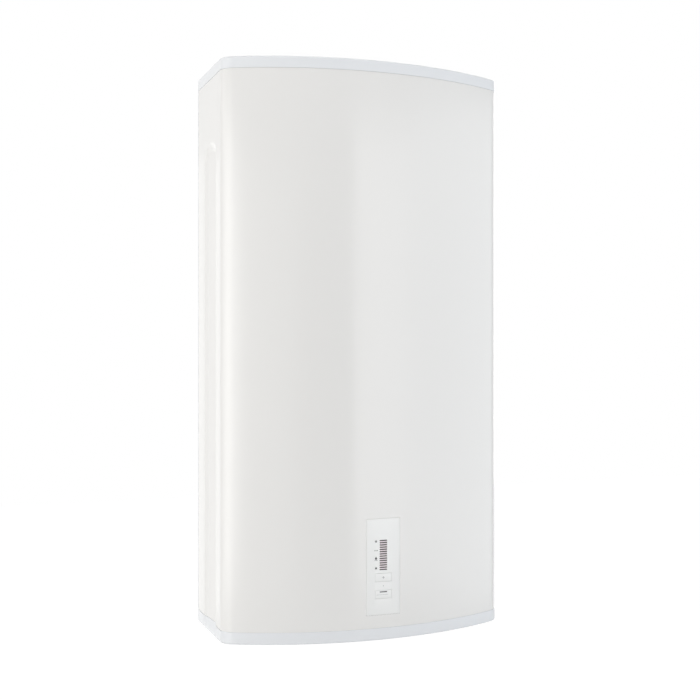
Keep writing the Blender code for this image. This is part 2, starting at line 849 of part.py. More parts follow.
def bolts_of(side):
    """The bolts of one flange, captive in its plate, with hexagonal heads underneath."""
    heads, shanks = bmesh.new(), bmesh.new()
    low, middle = plate_bottom - bolt_head_height, plate_bottom + closing_plate / 2
    tip = ring_face + flange_ring + bolt_tail
    for x, y in bolt_places(side):
        add_hexagon(heads, bolt_head, (x, y, low), (x, y, middle))
        add_rod(shanks, bolt_diameter / 2, (x, y, plate_bottom), (x, y, tip), screw_sides)
    return heads, shanks


def make_closures():
    lip, bore = flange_radius, neck_bore
    for word, side in (("left", -1), ("right", 1)):
        x, y = side * tank_x, y_at(tank_depth)
        low, high = plate_bottom - overrun, ring_face + overrun
        gasket = turned("gasket_" + word, [(bore, plate_top + gap), (lip, plate_top + gap),
                                           (lip, ring_face - gap), (bore, ring_face - gap)],
                        x, tank_depth, tank_sides)
        cut(gasket, bolt_holes(side, low, high))
        finish(gasket, (0.05, 0.05, 0.05), 0.8)
        plate = turned("flange_plate_" + word, [(0.0, plate_bottom), (lip, plate_bottom), (lip, plate_top),
                                                (0.0, plate_top)], x, tank_depth, tank_sides)
        ports = bmesh.new()
        for way in (-1, 1):
            leg = x + way * element_leg_spacing / 2
            add_rod(ports, element_rod / 2 + gap, (leg, y, low), (leg, y, high))
        add_rod(ports, anode_stud / 2 + gap, (x, y - fitting_offset, low), (x, y - fitting_offset, high))
        add_rod(ports, pocket_diameter / 2 + gap, (x, y + fitting_offset, low), (x, y + fitting_offset, high))
        cut(plate, ports)
        heads, shanks = bolts_of(side)
        fuse(plate, heads)
        fuse(plate, shanks)
        finish(plate, (0.55, 0.56, 0.58), 0.4, 0.8)
        make_element("heating_element_" + word, x, y)
        make_anode("anode_" + word, x, y - fitting_offset)
        make_anode_nut("anode_nut_" + word, x, y - fitting_offset)
        make_pocket("sensor_pocket_" + word, x, tank_depth - fitting_offset)
        make_thermostat("thermostat_" + word, x, y)


def make_element(name, x, y):
    """A rod bent into a long loop, with both ends through the plate."""
    bend = element_leg_spacing / 2
    low, turn_z = plate_bottom - element_tail, plate_bottom + element_height - bend
    points = [(x - bend, low)]
    points += [(x - bend * cos(pi * i / bend_steps), turn_z + bend * sin(pi * i / bend_steps))
               for i in range(bend_steps + 1)]
    points.append((x + bend, low))
    curve = bpy.data.curves.new(name, "CURVE")
    curve.dimensions = "3D"
    curve.bevel_depth = element_rod / 2
    curve.bevel_resolution = 2
    curve.use_fill_caps = True
    line = curve.splines.new("POLY")
    line.points.add(len(points) - 1)
    for point, (px, pz) in zip(line.points, points):
        point.co = (px, y, pz, 1.0)
    item = bpy.data.objects.new(name, curve)
    bpy.context.scene.collection.objects.link(item)
    finish(item, (0.5, 0.5, 0.52), 0.35, 0.9)


def make_anode(name, x, y):
    """A thick rod cast on a thinner stud."""
    rod_low = plate_top + anode_clearance
    stud, bar = anode_stud / 2, anode_rod / 2
    profile = [(0.0, plate_bottom - anode_tail), (stud, plate_bottom - anode_tail), (stud, rod_low),
               (bar, rod_low), (bar, rod_low + anode_height), (0.0, rod_low + anode_height)]
    finish(turned(name, profile, x, rear_face - y, pipe_sides), (0.62, 0.62, 0.6), 0.6, 0.6)


def make_anode_nut(name, x, y):
    """The nut that draws the anode's stud down on the plate."""
    shape = bmesh.new()
    high, low = plate_bottom - gap, plate_bottom - gap - anode_nut_height
    add_hexagon(shape, anode_nut, (x, y, high), (x, y, low))
    nut = made(name, shape)
    cut(nut, rod(anode_stud / 2 + gap, (x, y, low - overrun), (x, y, high + overrun)))
    finish(nut, (0.7, 0.7, 0.7), 0.35, 0.9)


def make_pocket(name, x, depth):
    """A thin tube, closed at its top, that the thermostat's probe stands in."""
    outer, inner = pocket_diameter / 2, pocket_diameter / 2 - pocket_wall
    low, high = plate_bottom - pocket_tail, plate_top + pocket_height
    roof = high - pocket_wall
    profile = [(0.0, roof), (inner, roof), (inner, low), (outer, low), (outer, high), (0.0, high)]
    finish(turned(name, profile, x, depth, screw_sides), (0.5, 0.5, 0.52), 0.3, 0.9)


def make_thermostat(name, x, y):
    """A switch block under the element's ends, with its probe up in the pocket."""
    length = max(thermostat_length, 2 * (fitting_offset + probe_radius))
    size = thermostat_width, length, thermostat_corner
    shape = bmesh.new()
    low, middle = thermostat_top - thermostat_height, thermostat_top - thermostat_height / 2
    add_rounded(shape, x, rear_face - y, [(low, *size), (thermostat_top, *size)])
    item = made(name, shape)
    probe_y, probe_end = y + fitting_offset, plate_top + pocket_height - pocket_wall - probe_end_clearance
    fuse(item, rod(probe_radius, (x, probe_y, middle), (x, probe_y, probe_end), screw_sides))
    finish(item, (0.12, 0.12, 0.13), 0.5)


# Water pipes: the cold inlet under the right tank, and the hot outlet that draws from the top of the left one


def pipe_profile(low, high):
    """A pipe's wall as (radius, z), chamfered at its lower end."""
    radius, bore = pipe_diameter / 2, pipe_diameter / 2 - pipe_wall
    chamfer = [(radius - pipe_chamfer, low), (radius, low + pipe_chamfer)]
    return [(bore, low), *chamfer, (radius, high), (bore, high)]


def make_pipes():
    end, x = casing_bottom - pipe_below_casing, pipe_spacing / 2
    inlet_top, outlet_top = tank_bottom + inlet_above_tank_bottom, tank_top - outlet_below_tank_top
    steel = (0.62, 0.62, 0.60), 0.28, 0.9
    finish(turned("inlet_pipe", pipe_profile(end, inlet_top), x, tank_depth, pipe_sides), *steel)
    finish(turned("outlet_pipe", pipe_profile(end, outlet_top), -x, tank_depth, pipe_sides), *steel)
    inner, outer = pipe_diameter / 2 + gap, pipe_diameter / 2 + ring_width
    low, high = casing_bottom - gap - ring_height, casing_bottom - gap
    profile = [(inner, low), (outer - ring_edge, low), (outer, low + ring_edge), (outer, high), (inner, high)]
    finish(turned("inlet_ring", profile, x, tank_depth, pipe_sides), (0.05, 0.16, 0.62), 0.45)
    finish(turned("outlet_ring", profile, -x, tank_depth, pipe_sides), (0.66, 0.05, 0.04), 0.45)
    sleeve, roof = inner + diffuser_wall, inlet_top + diffuser_rise
    profile = [(0.0, roof - diffuser_wall), (inner, roof - diffuser_wall), (inner, inlet_top - diffuser_grip),
               (sleeve, inlet_top - diffuser_grip), (sleeve, roof), (0.0, roof)]
    diffuser = turned("inlet_diffuser", profile, x, tank_depth, pipe_sides)
    low, high = inlet_top + gap, roof - 2 * diffuser_wall
    cut(diffuser, block(x, (low + high) / 2, diffuser_window, high - low, tank_depth + 2 * sleeve,
                        tank_depth - 2 * sleeve))
    finish(diffuser, (0.8, 0.8, 0.78), 0.5)


# Supply cable entry: a gland through the underside and a terminal block beside it


def make_cable_entry():
    y = y_at(gland_depth)
    flange_low = casing_bottom - gap - gland_flange_height
    neck_low = flange_low - gland_neck_height
    body = bmesh.new()
    add_hexagon(body, gland_flange, (0, y, casing_bottom - gap), (0, y, flange_low))
    gland = made("cable_gland", body)
    fuse(gland, rod(gland_thread / 2, (0, y, flange_low + gland_flange_height / 2),
                    (0, y, floor_top + lock_nut_height + gland_thread_end)))
    fuse(gland, rod(gland_neck / 2, (0, y, flange_low + gland_flange_height / 2), (0, y, neck_low)))
    cut(gland, rod(gland_bore / 2, (0, y, neck_low - overrun), (0, y, bottom_seam)))
    finish(gland, (0.78, 0.78, 0.77), 0.45)
    cap_outer = gland_neck / 2 + gap + gland_cap_wall
    cap_low = flange_low - gap - gland_cap_height
    bore = gland_bore / 2
    profile = [(gland_neck / 2 + gap, flange_low - gap), (gland_neck / 2 + gap, neck_low - gap),
               (bore, neck_low - gap), (bore, cap_low), (bore + gland_lip, cap_low),
               (cap_outer, cap_low + gland_lip), (cap_outer, flange_low - gap)]
    finish(turned("gland_cap", profile, 0.0, gland_depth, pipe_sides), (0.78, 0.78, 0.77), 0.45)
    nut = bmesh.new()
    add_hexagon(nut, lock_nut, (0, y, floor_top + gap), (0, y, floor_top + gap + lock_nut_height))
    lock = made("gland_lock_nut", nut)
    cut(lock, rod(gland_thread / 2 + gap, (0, y, floor_top - overrun), (0, y, bottom_seam)))
    finish(lock, (0.78, 0.78, 0.77), 0.45)


def make_terminal_block():
    low, high = floor_top + gap, floor_top + gap + block_height
    middle, front = (low + high) / 2, block_depth + block_length / 2
    body = block(0.0, middle, block_width, block_height, front, front - block_length)
    terminals = made("terminal_block", body)
    ports = bmesh.new()
    for i in range(block_ways):
        x = block_width * ((i + 0.5) / block_ways - 0.5)
        add_inward(ports, block_port / 2, x, middle, front + overrun, front - block_port_depth)
    cut(terminals, ports)
    finish(terminals, (0.85, 0.85, 0.82), 0.5)


# Power electronics: a tray with a board and relays, behind the lower front


def make_power_box():
    low, high = floor_top + gap, floor_top + gap + power_box_height
    rear, front = power_box_rear, power_box_rear + power_box_length
    wall, half = power_box_wall, power_box_width / 2
    tray = made("power_box", box((-half, y_at(front), low), (half, y_at(rear), high)))
    inner = half - wall
    cut(tray, box((-inner, y_at(front - wall), low + wall), (inner, y_at(rear + wall), high + overrun)))
    posts = bmesh.new()
    post_x, board_low = half - wall - power_board_post, low + wall + power_board_post
    for x in (-post_x, post_x):
        for depth in (rear + wall + power_board_post, front - wall - power_board_post):
            add_upright(posts, power_board_post / 2, x, depth, low + wall / 2, board_low, screw_sides)
    fuse(tray, posts)
    finish(tray, (0.16, 0.16, 0.17), 0.5)
    edge, board_low = wall + gap, board_low + gap
    board_top = board_low + power_board
    circuit = made("power_board", box((edge - half, y_at(front - edge), board_low),
                                      (half - edge, y_at(rear + edge), board_top)))
    finish(circuit, (0.05, 0.28, 0.14), 0.45)
    middle, level = (rear + front) / 2, board_top + gap + relay_height / 2
    for name, side in (("relay_left", -1), ("relay_right", 1)):
        relay = block(side * relay_spacing / 2, level, relay_width, relay_height, middle + relay_length / 2,
                      middle - relay_length / 2)
        finish(made(name, relay), (0.08, 0.10, 0.25), 0.45)
    lid = made("power_box_lid", box((-half, y_at(front), high + gap), (half, y_at(rear), high + gap + wall)))
    finish(lid, (0.16, 0.16, 0.17), 0.5)


# Control panel: a moulded plate snapped into the front, with a light guide, two keys and their board


def panel_depths():
    """Depths of the stack behind a key: its stem's end, the switch's face, the board's faces."""
    stem_end = front_depth(panel_shift, panel_back + gap + key_rim_thickness + key_stem_length)
    switch_face = stem_end - gap - plunger_rise
    board_front = switch_face - switch_height - gap
    return stem_end, switch_face, board_front, board_front - board


def housing_back():
    return panel_depths()[3] - gap - housing_post_height - housing_wall


def bar_levels():
    """Middles of the light bars, from the top one down."""
    top = panel_middle + panel_height / 2 - bars_below_top - bar_height / 2
    return [top - bar_pitch * i for i in range(bar_count)]


def key_levels():
    """Middles of the two keys, by name."""
    plus = bar_levels()[-1] - bar_height / 2 - key_below_bars - key_height / 2
    return {"plus": plus, "minus": plus - key_height - between_keys}


def make_control_plate():
    left, right = panel_shift - panel_width / 2, panel_shift + panel_width / 2
    low, high = panel_middle - panel_height / 2, panel_middle + panel_height / 2
    plate = made("control_plate", front_slab(left, right, low, high, -panel_proud, panel_back, steps=8))
    for edge, way in ((left, -1), (right, 1)):
        lugs = bmesh.new()
        for z in (panel_middle - lug_spacing / 2, panel_middle + lug_spacing / 2):
            ends = sorted((edge - way * lug_root, edge + way * (gap + lug_reach)))
            places = [(x, inset) for x, inset in ((ends[0], shell_inside), (ends[1], shell_inside),
                                                  (ends[1], shell_inside + lug_thickness),
                                                  (ends[0], shell_inside + lug_thickness))]
            rows = [[lugs.verts.new((x, y_at(front_depth(x, inset)), z + way_z * lug_width / 2))
                     for x, inset in places] for way_z in (-1, 1)]
            skin(lugs, rows)
        fuse(plate, lugs)
    openings = bmesh.new()
    front, back = casing_depth + overrun, casing_depth - 2 * overrun
    for z in bar_levels():
        add_block(openings, panel_shift, z, bar_width + 2 * gap, bar_height + 2 * gap, front, back)
    for z in key_levels().values():
        add_block(openings, panel_shift, z, key_width + 2 * gap, key_height + 2 * gap, front, back)
    cut(plate, openings)
    finish(plate, (0.88, 0.885, 0.88), 0.35)


def make_light_guide():
    half = bar_width / 2
    outer_x = abs(panel_shift) + half + guide_rim
    base_front = front_depth(outer_x, panel_back) - gap
    levels = bar_levels()
    guide = made("light_guide", block(panel_shift, (levels[0] + levels[-1]) / 2, bar_width + 2 * guide_rim,
                                      levels[0] - levels[-1] + bar_height + 2 * guide_rim,
                                      base_front, base_front - guide_base))
    bars = bmesh.new()
    face = [(x, y_at(front_depth(x, -panel_proud))) for x in (panel_shift - half, panel_shift + half)]
    back = [(x, y_at(base_front - guide_base / 2)) for x in (panel_shift + half, panel_shift - half)]
    for z in levels:
        rows = [[bars.verts.new((x, y, z + way * bar_height / 2)) for x, y in face + back] for way in (-1, 1)]
        skin(bars, rows)
    fuse(guide, bars)
    finish(guide, (0.20, 0.03, 0.05), 0.3)


def make_key(word, z):
    """A key with a rim behind the plate and a stem on the switch's plunger; its origin is on its travel."""
    stem_end, switch_face, _, _ = panel_depths()
    rim_back = panel_back + gap + key_rim_thickness
    left, right = panel_shift - key_width / 2, panel_shift + key_width / 2
    low, high = z - key_height / 2, z + key_height / 2
    pivot = Vector((panel_shift, y_at(front_depth(panel_shift, -panel_proud)), z))
    key = made(word + "_key", front_slab(left, right, low, high, -panel_proud, rim_back))
    fuse(key, front_slab(left - key_rim, right + key_rim, low - key_rim, high + key_rim, panel_back + gap,
                         rim_back + gap))
    fuse(key, block(panel_shift, z, key_stem, key_stem, front_depth(panel_shift, rim_back - gap), stem_end))
    key.data.transform(Matrix.Translation(-pivot))
    key.location = pivot
    finish(key, (0.87, 0.875, 0.87), 0.35)
    button = bmesh.new()
    add_inward(button, plunger / 2, panel_shift, z, stem_end - gap, switch_face - plunger_seat)
    button.transform(Matrix.Translation(-pivot))
    item = made(word + "_plunger", button, smooth=True)
    item.location = pivot
    finish(item, (0.1, 0.1, 0.1), 0.4)


def make_switch(name, z):
    """A small switch body with a bore for its plunger."""
    _, switch_face, _, _ = panel_depths()
    switch_back = switch_face - switch_height
    body = made(name, block(panel_shift, z, switch_width, switch_width, switch_face, switch_back))
    bore = bmesh.new()
    add_inward(bore, plunger / 2 + gap, panel_shift, z, switch_face + overrun / 2,
               switch_face - plunger_seat - key_travel - gap)
    cut(body, bore)
    finish(body, (0.25, 0.25, 0.26), 0.4)


def make_display_board():
    _, _, board_front, board_back = panel_depths()
    edge = housing_inset + housing_wall + gap
    circuit = block(panel_shift, panel_middle, panel_width - 2 * edge, panel_height - 2 * edge,
                    board_front, board_back)
    finish(made("display_board", circuit), (0.05, 0.28, 0.14), 0.45)


def make_control_housing():
    out_x, out_z = panel_width / 2 - housing_inset, panel_height / 2 - housing_inset
    in_x, in_z = out_x - housing_wall, out_z - housing_wall
    floor, front = housing_back() + housing_wall, casing_depth + overrun
    body = front_slab(panel_shift - out_x, panel_shift + out_x, panel_middle - out_z, panel_middle + out_z,
                      panel_back + gap, flat_back=housing_back(), steps=8)
    housing = made("control_housing", body)
    cut(housing, block(panel_shift, panel_middle, 2 * in_x, 2 * in_z, front, floor))
    notches = bmesh.new()
    for side in (panel_shift - out_x, panel_shift + out_x):
        notch_back = front_depth(abs(side) + lug_reach, shell_inside + lug_thickness) - 2 * gap
        for z in (panel_middle - lug_spacing / 2, panel_middle + lug_spacing / 2):
            add_block(notches, side, z, 2 * (housing_wall + lug_reach), lug_width + 2 * gap,
                      front, notch_back)
    cut(housing, notches)
    posts = bmesh.new()
    for x in (panel_shift - in_x + housing_post, panel_shift + in_x - housing_post):
        for z in (panel_middle - in_z + housing_post, panel_middle + in_z - housing_post):
            add_inward(posts, housing_post / 2, x, z, floor + housing_post_height, floor - housing_wall / 2)
    fuse(housing, posts)
    finish(housing, (0.75, 0.75, 0.74), 0.5)


make_front_shell()
make_back_panel()
make_top_cap()
make_bottom_cap()
make_service_covers()
make_brackets()
make_tanks()
make_link_pipes()
make_insulation()
make_closures()
make_pipes()
make_cable_entry()
make_terminal_block()
make_power_box()
make_control_plate()
make_light_guide()
for word, level in key_levels().items():
    make_key(word, level)
    make_switch(word + "_switch", level)
make_display_board()
make_control_housing()
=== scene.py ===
from functools import partial
from math import asin, cos, pi, radians, sin, sqrt, tau

import bmesh
import bpy
from mathutils import Matrix, Vector


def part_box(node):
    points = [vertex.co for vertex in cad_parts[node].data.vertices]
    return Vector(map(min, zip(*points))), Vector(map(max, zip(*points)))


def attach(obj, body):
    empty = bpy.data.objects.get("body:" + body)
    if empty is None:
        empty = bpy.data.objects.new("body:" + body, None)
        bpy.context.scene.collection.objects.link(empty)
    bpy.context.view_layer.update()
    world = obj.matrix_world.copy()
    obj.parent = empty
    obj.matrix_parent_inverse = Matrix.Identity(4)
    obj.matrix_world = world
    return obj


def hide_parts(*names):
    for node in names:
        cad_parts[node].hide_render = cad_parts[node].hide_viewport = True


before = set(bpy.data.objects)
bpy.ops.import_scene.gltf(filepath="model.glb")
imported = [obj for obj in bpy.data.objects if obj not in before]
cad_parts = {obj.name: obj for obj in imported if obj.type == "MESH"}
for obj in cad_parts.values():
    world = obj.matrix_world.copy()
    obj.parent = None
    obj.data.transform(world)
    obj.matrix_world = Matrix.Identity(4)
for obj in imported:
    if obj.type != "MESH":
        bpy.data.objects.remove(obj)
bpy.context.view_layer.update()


# Rear panel: one flat steel sheet that closes the back of the casing. It is zinc-coated by hot dipping,
# so that large flat crystals show in its surface, and it keeps the shape that the frame gives it.

def wire(tree, kind, inputs=None, **settings):
    """Adds a node, sets it up, and fills its inputs with values, sockets or nodes' first outputs."""
    node = tree.nodes.new(kind)
    for key, value in settings.items():
        setattr(node, key, value)
    for key, value in (inputs or {}).items():
        if isinstance(value, bpy.types.Node):
            value = value.outputs[0]
        if isinstance(value, bpy.types.NodeSocket):
            tree.links.new(value, node.inputs[key])
        else:
            node.inputs[key].default_value = value
    return node


def calc(tree, operation, *values, clamp=False):
    return wire(tree, "ShaderNodeMath", dict(enumerate(values)), operation=operation,
                use_clamp=clamp).outputs[0]


def noise(tree, place, scale, detail):
    return wire(tree, "ShaderNodeTexNoise", {"Vector": place, "Scale": scale, "Detail": detail}).outputs[0]


def cells(tree, place, scale, output="Distance"):
    return wire(tree, "ShaderNodeTexVoronoi", {"Vector": place, "Scale": scale}).outputs[output]


def blend(tree, first, share, second, result):
    """Passes on a share of one value together with the rest of another."""
    rest = calc(tree, "MULTIPLY", second, 1 - share)
    tree.links.new(calc(tree, "MULTIPLY_ADD", first, share, rest), result)


def effect(name, label, value):
    """Starts a shader group that turns a place on a surface into a tone and a height, both 0 to 1."""
    tree = bpy.data.node_groups.new(name, "ShaderNodeTree")
    tree.interface.new_socket("Place", in_out="INPUT", socket_type="NodeSocketVector")
    tree.interface.new_socket(label, in_out="INPUT", socket_type="NodeSocketFloat").default_value = value
    for output in ("Tone", "Height"):
        tree.interface.new_socket(output, in_out="OUTPUT", socket_type="NodeSocketFloat")
    place, number = tree.nodes.new("NodeGroupInput").outputs[:2]
    return tree, place, number, tree.nodes.new("NodeGroupOutput").inputs


def surface(name, pattern, fineness, dark, light, roughness, depth, **constants):
    """A Principled material whose colour, roughness and bump follow an effect."""
    material = bpy.data.materials.new(name)
    material.use_nodes = True
    tree = material.node_tree
    shader = tree.nodes["Principled BSDF"].inputs
    place = wire(tree, "ShaderNodeTexCoord").outputs["Object"]
    group = wire(tree, "ShaderNodeGroup", {"Place": place, 1: fineness},
                 node_tree=bpy.data.node_groups[pattern])
    tone = group.outputs["Tone"]
    colour = wire(tree, "ShaderNodeMix", {0: tone, 6: (*dark, 1), 7: (*light, 1)}, data_type="RGBA")
    rough = wire(tree, "ShaderNodeMapRange", {0: tone, 3: roughness[0], 4: roughness[1]})
    bump = wire(tree, "ShaderNodeBump", {"Height": group.outputs["Height"], "Distance": depth})
    tree.links.new(colour.outputs[2], shader["Base Color"])
    tree.links.new(rough.outputs[0], shader["Roughness"])
    tree.links.new(bump.outputs[0], shader["Normal"])
    for label, value in constants.items():
        shader[label.replace("_", " ")].default_value = value
    return material


def dress(material, *nodes):
    for node in nodes:
        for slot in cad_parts[node].material_slots:
            slot.material = material


tree, place, crystals, result = effect("zinc_crystals", "Crystals", 90.0)
warp = wire(tree, "ShaderNodeTexNoise", {"Vector": place, "Scale": 40.0, "Detail": 3.0}).outputs["Color"]
warped = wire(tree, "ShaderNodeMix", {0: 0.03, 4: place, 5: warp}, data_type="VECTOR").outputs[1]
shade = wire(tree, "ShaderNodeSeparateColor", {0: cells(tree, warped, crystals, "Color")})
fine = noise(tree, place, 900.0, 4.0)
blend(tree, fine, 0.35, shade, result["Tone"])
blend(tree, shade, 0.3, fine, result["Height"])

zinc = surface("zinc_coated_sheet", "zinc_crystals", 85.0, (0.47, 0.49, 0.51), (0.66, 0.68, 0.70),
               (0.34, 0.52), 0.00004, Metallic=0.85)
dress(zinc, "back_panel")


# Wall brackets: hat-shaped strips of zinc-coated steel, bent with a small inside radius. The upper one hangs
# on two wall screws by its keyholes, the lower one has round fixing holes, and both are spot welded to the
# rear panel through their flanges.

wall_gap, sheet, fit_gap = 0.012, 0.0008, 0.0003
bracket_steel, bend_radius, edge_soft = 0.002, 0.0032, 0.00025
keyhole_x, keyhole_drop, round_hole_x, hole_radius = 0.150, 0.009, 0.110, 0.0045
cut_front, cut_rear = -0.006, 0.004
wall_strips = (("upper_wall_bracket", "upper_bracket", 0.0, 0.400, 0.050, 7),
               ("lower_wall_strip", "lower_bracket", -0.680, 0.300, 0.026, 5))


def placed(name, data):
    item = bpy.data.objects.new(name, data)
    bpy.context.scene.collection.objects.link(item)
    return item


def object_of(shape, name):
    mesh = bpy.data.meshes.new(name)
    shape.to_mesh(mesh)
    shape.free()
    return placed(name, mesh)


def cleaned(shape):
    """Merges a bmesh's doubles and turns its faces outwards."""
    bmesh.ops.remove_doubles(shape, verts=shape.verts, dist=1e-6)
    bmesh.ops.dissolve_degenerate(shape, edges=shape.edges, dist=1e-6)
    bmesh.ops.recalc_face_normals(shape, faces=shape.faces)
    return shape


def skinned(loops, closed=True):
    """A bmesh skinned over loops of equally many points, with both ends closed."""
    shape = bmesh.new()
    rows = [[shape.verts.new(point) for point in loop] for loop in loops]
    count = len(rows[0])
    for low, high in zip(rows, rows[1:]):
        for i in range(count):
            k = (i + 1) % count
            shape.faces.new((low[i], low[k], high[k], high[i]))
    if closed:
        shape.faces.new(rows[0][::-1])
        shape.faces.new(rows[-1])
    bmesh.ops.recalc_face_normals(shape, faces=shape.faces)
    return shape


def joined(item, operation, tool):
    """Takes a tool object out of an item, or fuses it on."""
    modifier = item.modifiers.new(operation, "BOOLEAN")
    modifier.operation, modifier.solver, modifier.object = operation, "EXACT", tool


def evaluated(item):
    """The plain mesh that an object's modifiers make; they and their tools are removed."""
    bpy.context.view_layer.update()
    mesh = bpy.data.meshes.new_from_object(item.evaluated_get(bpy.context.evaluated_depsgraph_get()))
    for tool in [modifier.object for modifier in item.modifiers if modifier.type == "BOOLEAN"]:
        bpy.data.objects.remove(tool)
    item.modifiers.clear()
    return mesh


def settled(item, name, material):
    """Turns what an object's modifiers make into one plain, closed and smoothly shaded piece."""
    mesh = evaluated(item)
    bpy.data.objects.remove(item)
    shape = bmesh.new()
    shape.from_mesh(mesh)
    cleaned(shape).to_mesh(mesh)
    shape.free()
    mesh.name = name
    mesh.materials.clear()
    mesh.materials.append(material)
    mesh.shade_smooth()
    mesh.set_sharp_from_angle(angle=radians(32))
    return placed(name, mesh)


def fit(piece, slot, *nodes, body="heater"):
    """Lets a piece ride on a body and puts it in the place of frame nodes. The slot, a finish's name, is not
    used.
    """
    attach(piece, body)
    if nodes:
        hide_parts(*nodes)


def rounded(corners, radii, steps=5):
    """A closed outline whose corners are rounded."""
    outline = []
    for i, (corner, radius) in enumerate(zip(corners, radii)):
        here = Vector(corner)
        back = (Vector(corners[i - 1]) - here).normalized()
        on = (Vector(corners[(i + 1) % len(corners)]) - here).normalized()
        if radius == 0:
            outline.append(here)
            continue
        half = back.angle(on) / 2
        centre = here + (back + on).normalized() * radius / sin(half)
        arm = radius / sin(half) * cos(half)
        first, last = here + back * arm, here + on * arm
        turn = (first - centre).angle_signed(last - centre)
        for k in range(steps + 1):
            outline.append(centre + Matrix.Rotation(-turn * k / steps, 2) @ (first - centre))
    return outline


def round_tool(radius, start, end, sides=32):
    """A plain rod between two points, as a tool for a cut."""
    start, end = Vector(start), Vector(end)
    along = (end - start).normalized()
    across = along.orthogonal().normalized()
    over = along.cross(across)
    loops = [[p + (across * cos(tau * i / sides) + over * sin(tau * i / sides)) * radius
              for i in range(sides)] for p in (start, end)]
    return object_of(skinned(loops), "round_tool")


def hat_section(crown, flange=0.016):
    """The strip's section as (z, y): flanges on the rear panel, crown against the wall."""
    deep, steel = wall_gap - fit_gap, bracket_steel
    half, foot = crown / 2, crown / 2 + flange
    corners = [(-foot, -deep), (-half + steel, -deep), (-half + steel, -steel), (half - steel, -steel),
               (half - steel, -deep), (foot, -deep), (foot, steel - deep), (half, steel - deep),
               (half, 0.0), (-half, 0.0), (-half, steel - deep), (-foot, steel - deep)]
    tight, wide = bend_radius - steel, bend_radius
    return rounded(corners, [0, wide, tight, tight, wide, 0, 0, tight, wide, wide, tight, 0])


def keyhole_outline(x, z, mouth=0.009, neck=hole_radius, rise=0.018, steps=24):
    """A keyhole as (x, z): a round mouth with a narrow neck above it."""
    first = asin(neck / mouth)
    turns = [first + (tau - 2 * first) * i / steps for i in range(steps + 1)]
    outline = [(x + mouth * sin(a), z + mouth * cos(a)) for a in turns]
    turns = [pi * i / steps for i in range(steps + 1)]
    return outline + [(x - neck * cos(a), z + rise + neck * sin(a)) for a in turns]


for name, node, level, length, crown, _ in wall_strips:
    ends = [[(x, y, level + z) for z, y in hat_section(crown)] for x in (-length / 2, length / 2)]
    strip = object_of(skinned(ends), name + "_blank")
    for side in (-1, 1):
        if node == "upper_bracket":
            outline = keyhole_outline(side * keyhole_x, level - keyhole_drop)
            loops = [[(x, y, z) for x, z in outline] for y in (cut_front, cut_rear)]
            tool = object_of(skinned(loops), "keyhole_tool")
        else:
            x = side * round_hole_x
            tool = round_tool(hole_radius, (x, cut_front, level), (x, cut_rear, level))
        joined(strip, "DIFFERENCE", tool)
    bevel = strip.modifiers.new("broken_edges", "BEVEL")
    bevel.width, bevel.segments, bevel.limit_method, bevel.angle_limit = edge_soft, 2, "ANGLE", radians(50)
    fit(settled(strip, name, zinc), "galvanised_sheet", node)


# Spot welds: a row of shallow round marks along each flange, where the welding tips pressed the strip onto
# the rear panel. The marks are all alike, and set out evenly along the strip.

def turned(profile, sides=24):
    """A bmesh turned about the Z axis from (radius, z) points, with its poles closed."""
    shape = bmesh.new()
    points = [shape.verts.new((radius, 0.0, z)) for radius, z in profile]
    lines = [shape.edges.new(pair) for pair in zip(points, points[1:])]
    bmesh.ops.spin(shape, geom=points + lines, cent=(0, 0, 0), axis=(0, 0, 1), angle=tau, steps=sides,
                   use_merge=True)
    return cleaned(shape)


def node_tree(name, sockets):
    """Starts a tree that makes a piece, with its inputs' kinds by name, or their usual values."""
    tree = bpy.data.node_groups.new(name, "GeometryNodeTree")
    for label, kind in sockets.items():
        if isinstance(kind, float):
            socket = tree.interface.new_socket(label, in_out="INPUT", socket_type="NodeSocketFloat")
            socket.default_value = kind
        else:
            tree.interface.new_socket(label, in_out="INPUT", socket_type="NodeSocket" + kind)
    tree.interface.new_socket("Piece", in_out="OUTPUT", socket_type="NodeSocketGeometry")
    return tree, wire(tree, "NodeGroupInput").outputs


def end_tree(tree, made, finish):
    """Ends a tree in real geometry with its finish on it."""
    real = wire(tree, "GeometryNodeRealizeInstances", {0: made})
    coated = wire(tree, "GeometryNodeSetMaterial", {"Geometry": real, "Material": finish})
    wire(tree, "NodeGroupOutput", {0: coated})


setting, given = node_tree("set_at_places", {"Places": "Geometry", "Pattern": "Object", "Tilt": "Vector",
                                             "Loose Turn": "Float", "Seed": "Int", "Finish": "Material"})
pattern = wire(setting, "GeometryNodeObjectInfo", {"Object": given["Pattern"]})
turn = wire(setting, "FunctionNodeRandomValue", {"Seed": given["Seed"]}, data_type="FLOAT").outputs[1]
own_turn = wire(setting, "ShaderNodeCombineXYZ", {"Z": calc(setting, "MULTIPLY", turn, given["Loose Turn"])})
tilt = wire(setting, "FunctionNodeEulerToRotation", {0: given["Tilt"]})
own = wire(setting, "FunctionNodeEulerToRotation", {0: own_turn})
both = wire(setting, "FunctionNodeRotateRotation", {0: tilt, 1: own}, rotation_space="LOCAL")
copies = wire(setting, "GeometryNodeInstanceOnPoints", {
    "Points": given["Places"], "Rotation": both, "Instance": pattern.outputs["Geometry"]})
end_tree(setting, copies, given["Finish"])


def run_tree(item, tree, inputs):
    """Puts a node tree on an object, with its inputs set by their identifiers."""
    modifier = item.modifiers.new(tree.name, "NODES")
    modifier.node_group = tree
    for socket in tree.interface.items_tree:
        if socket.in_out == "INPUT" and socket.name in inputs:
            modifier[socket.identifier] = inputs[socket.name]


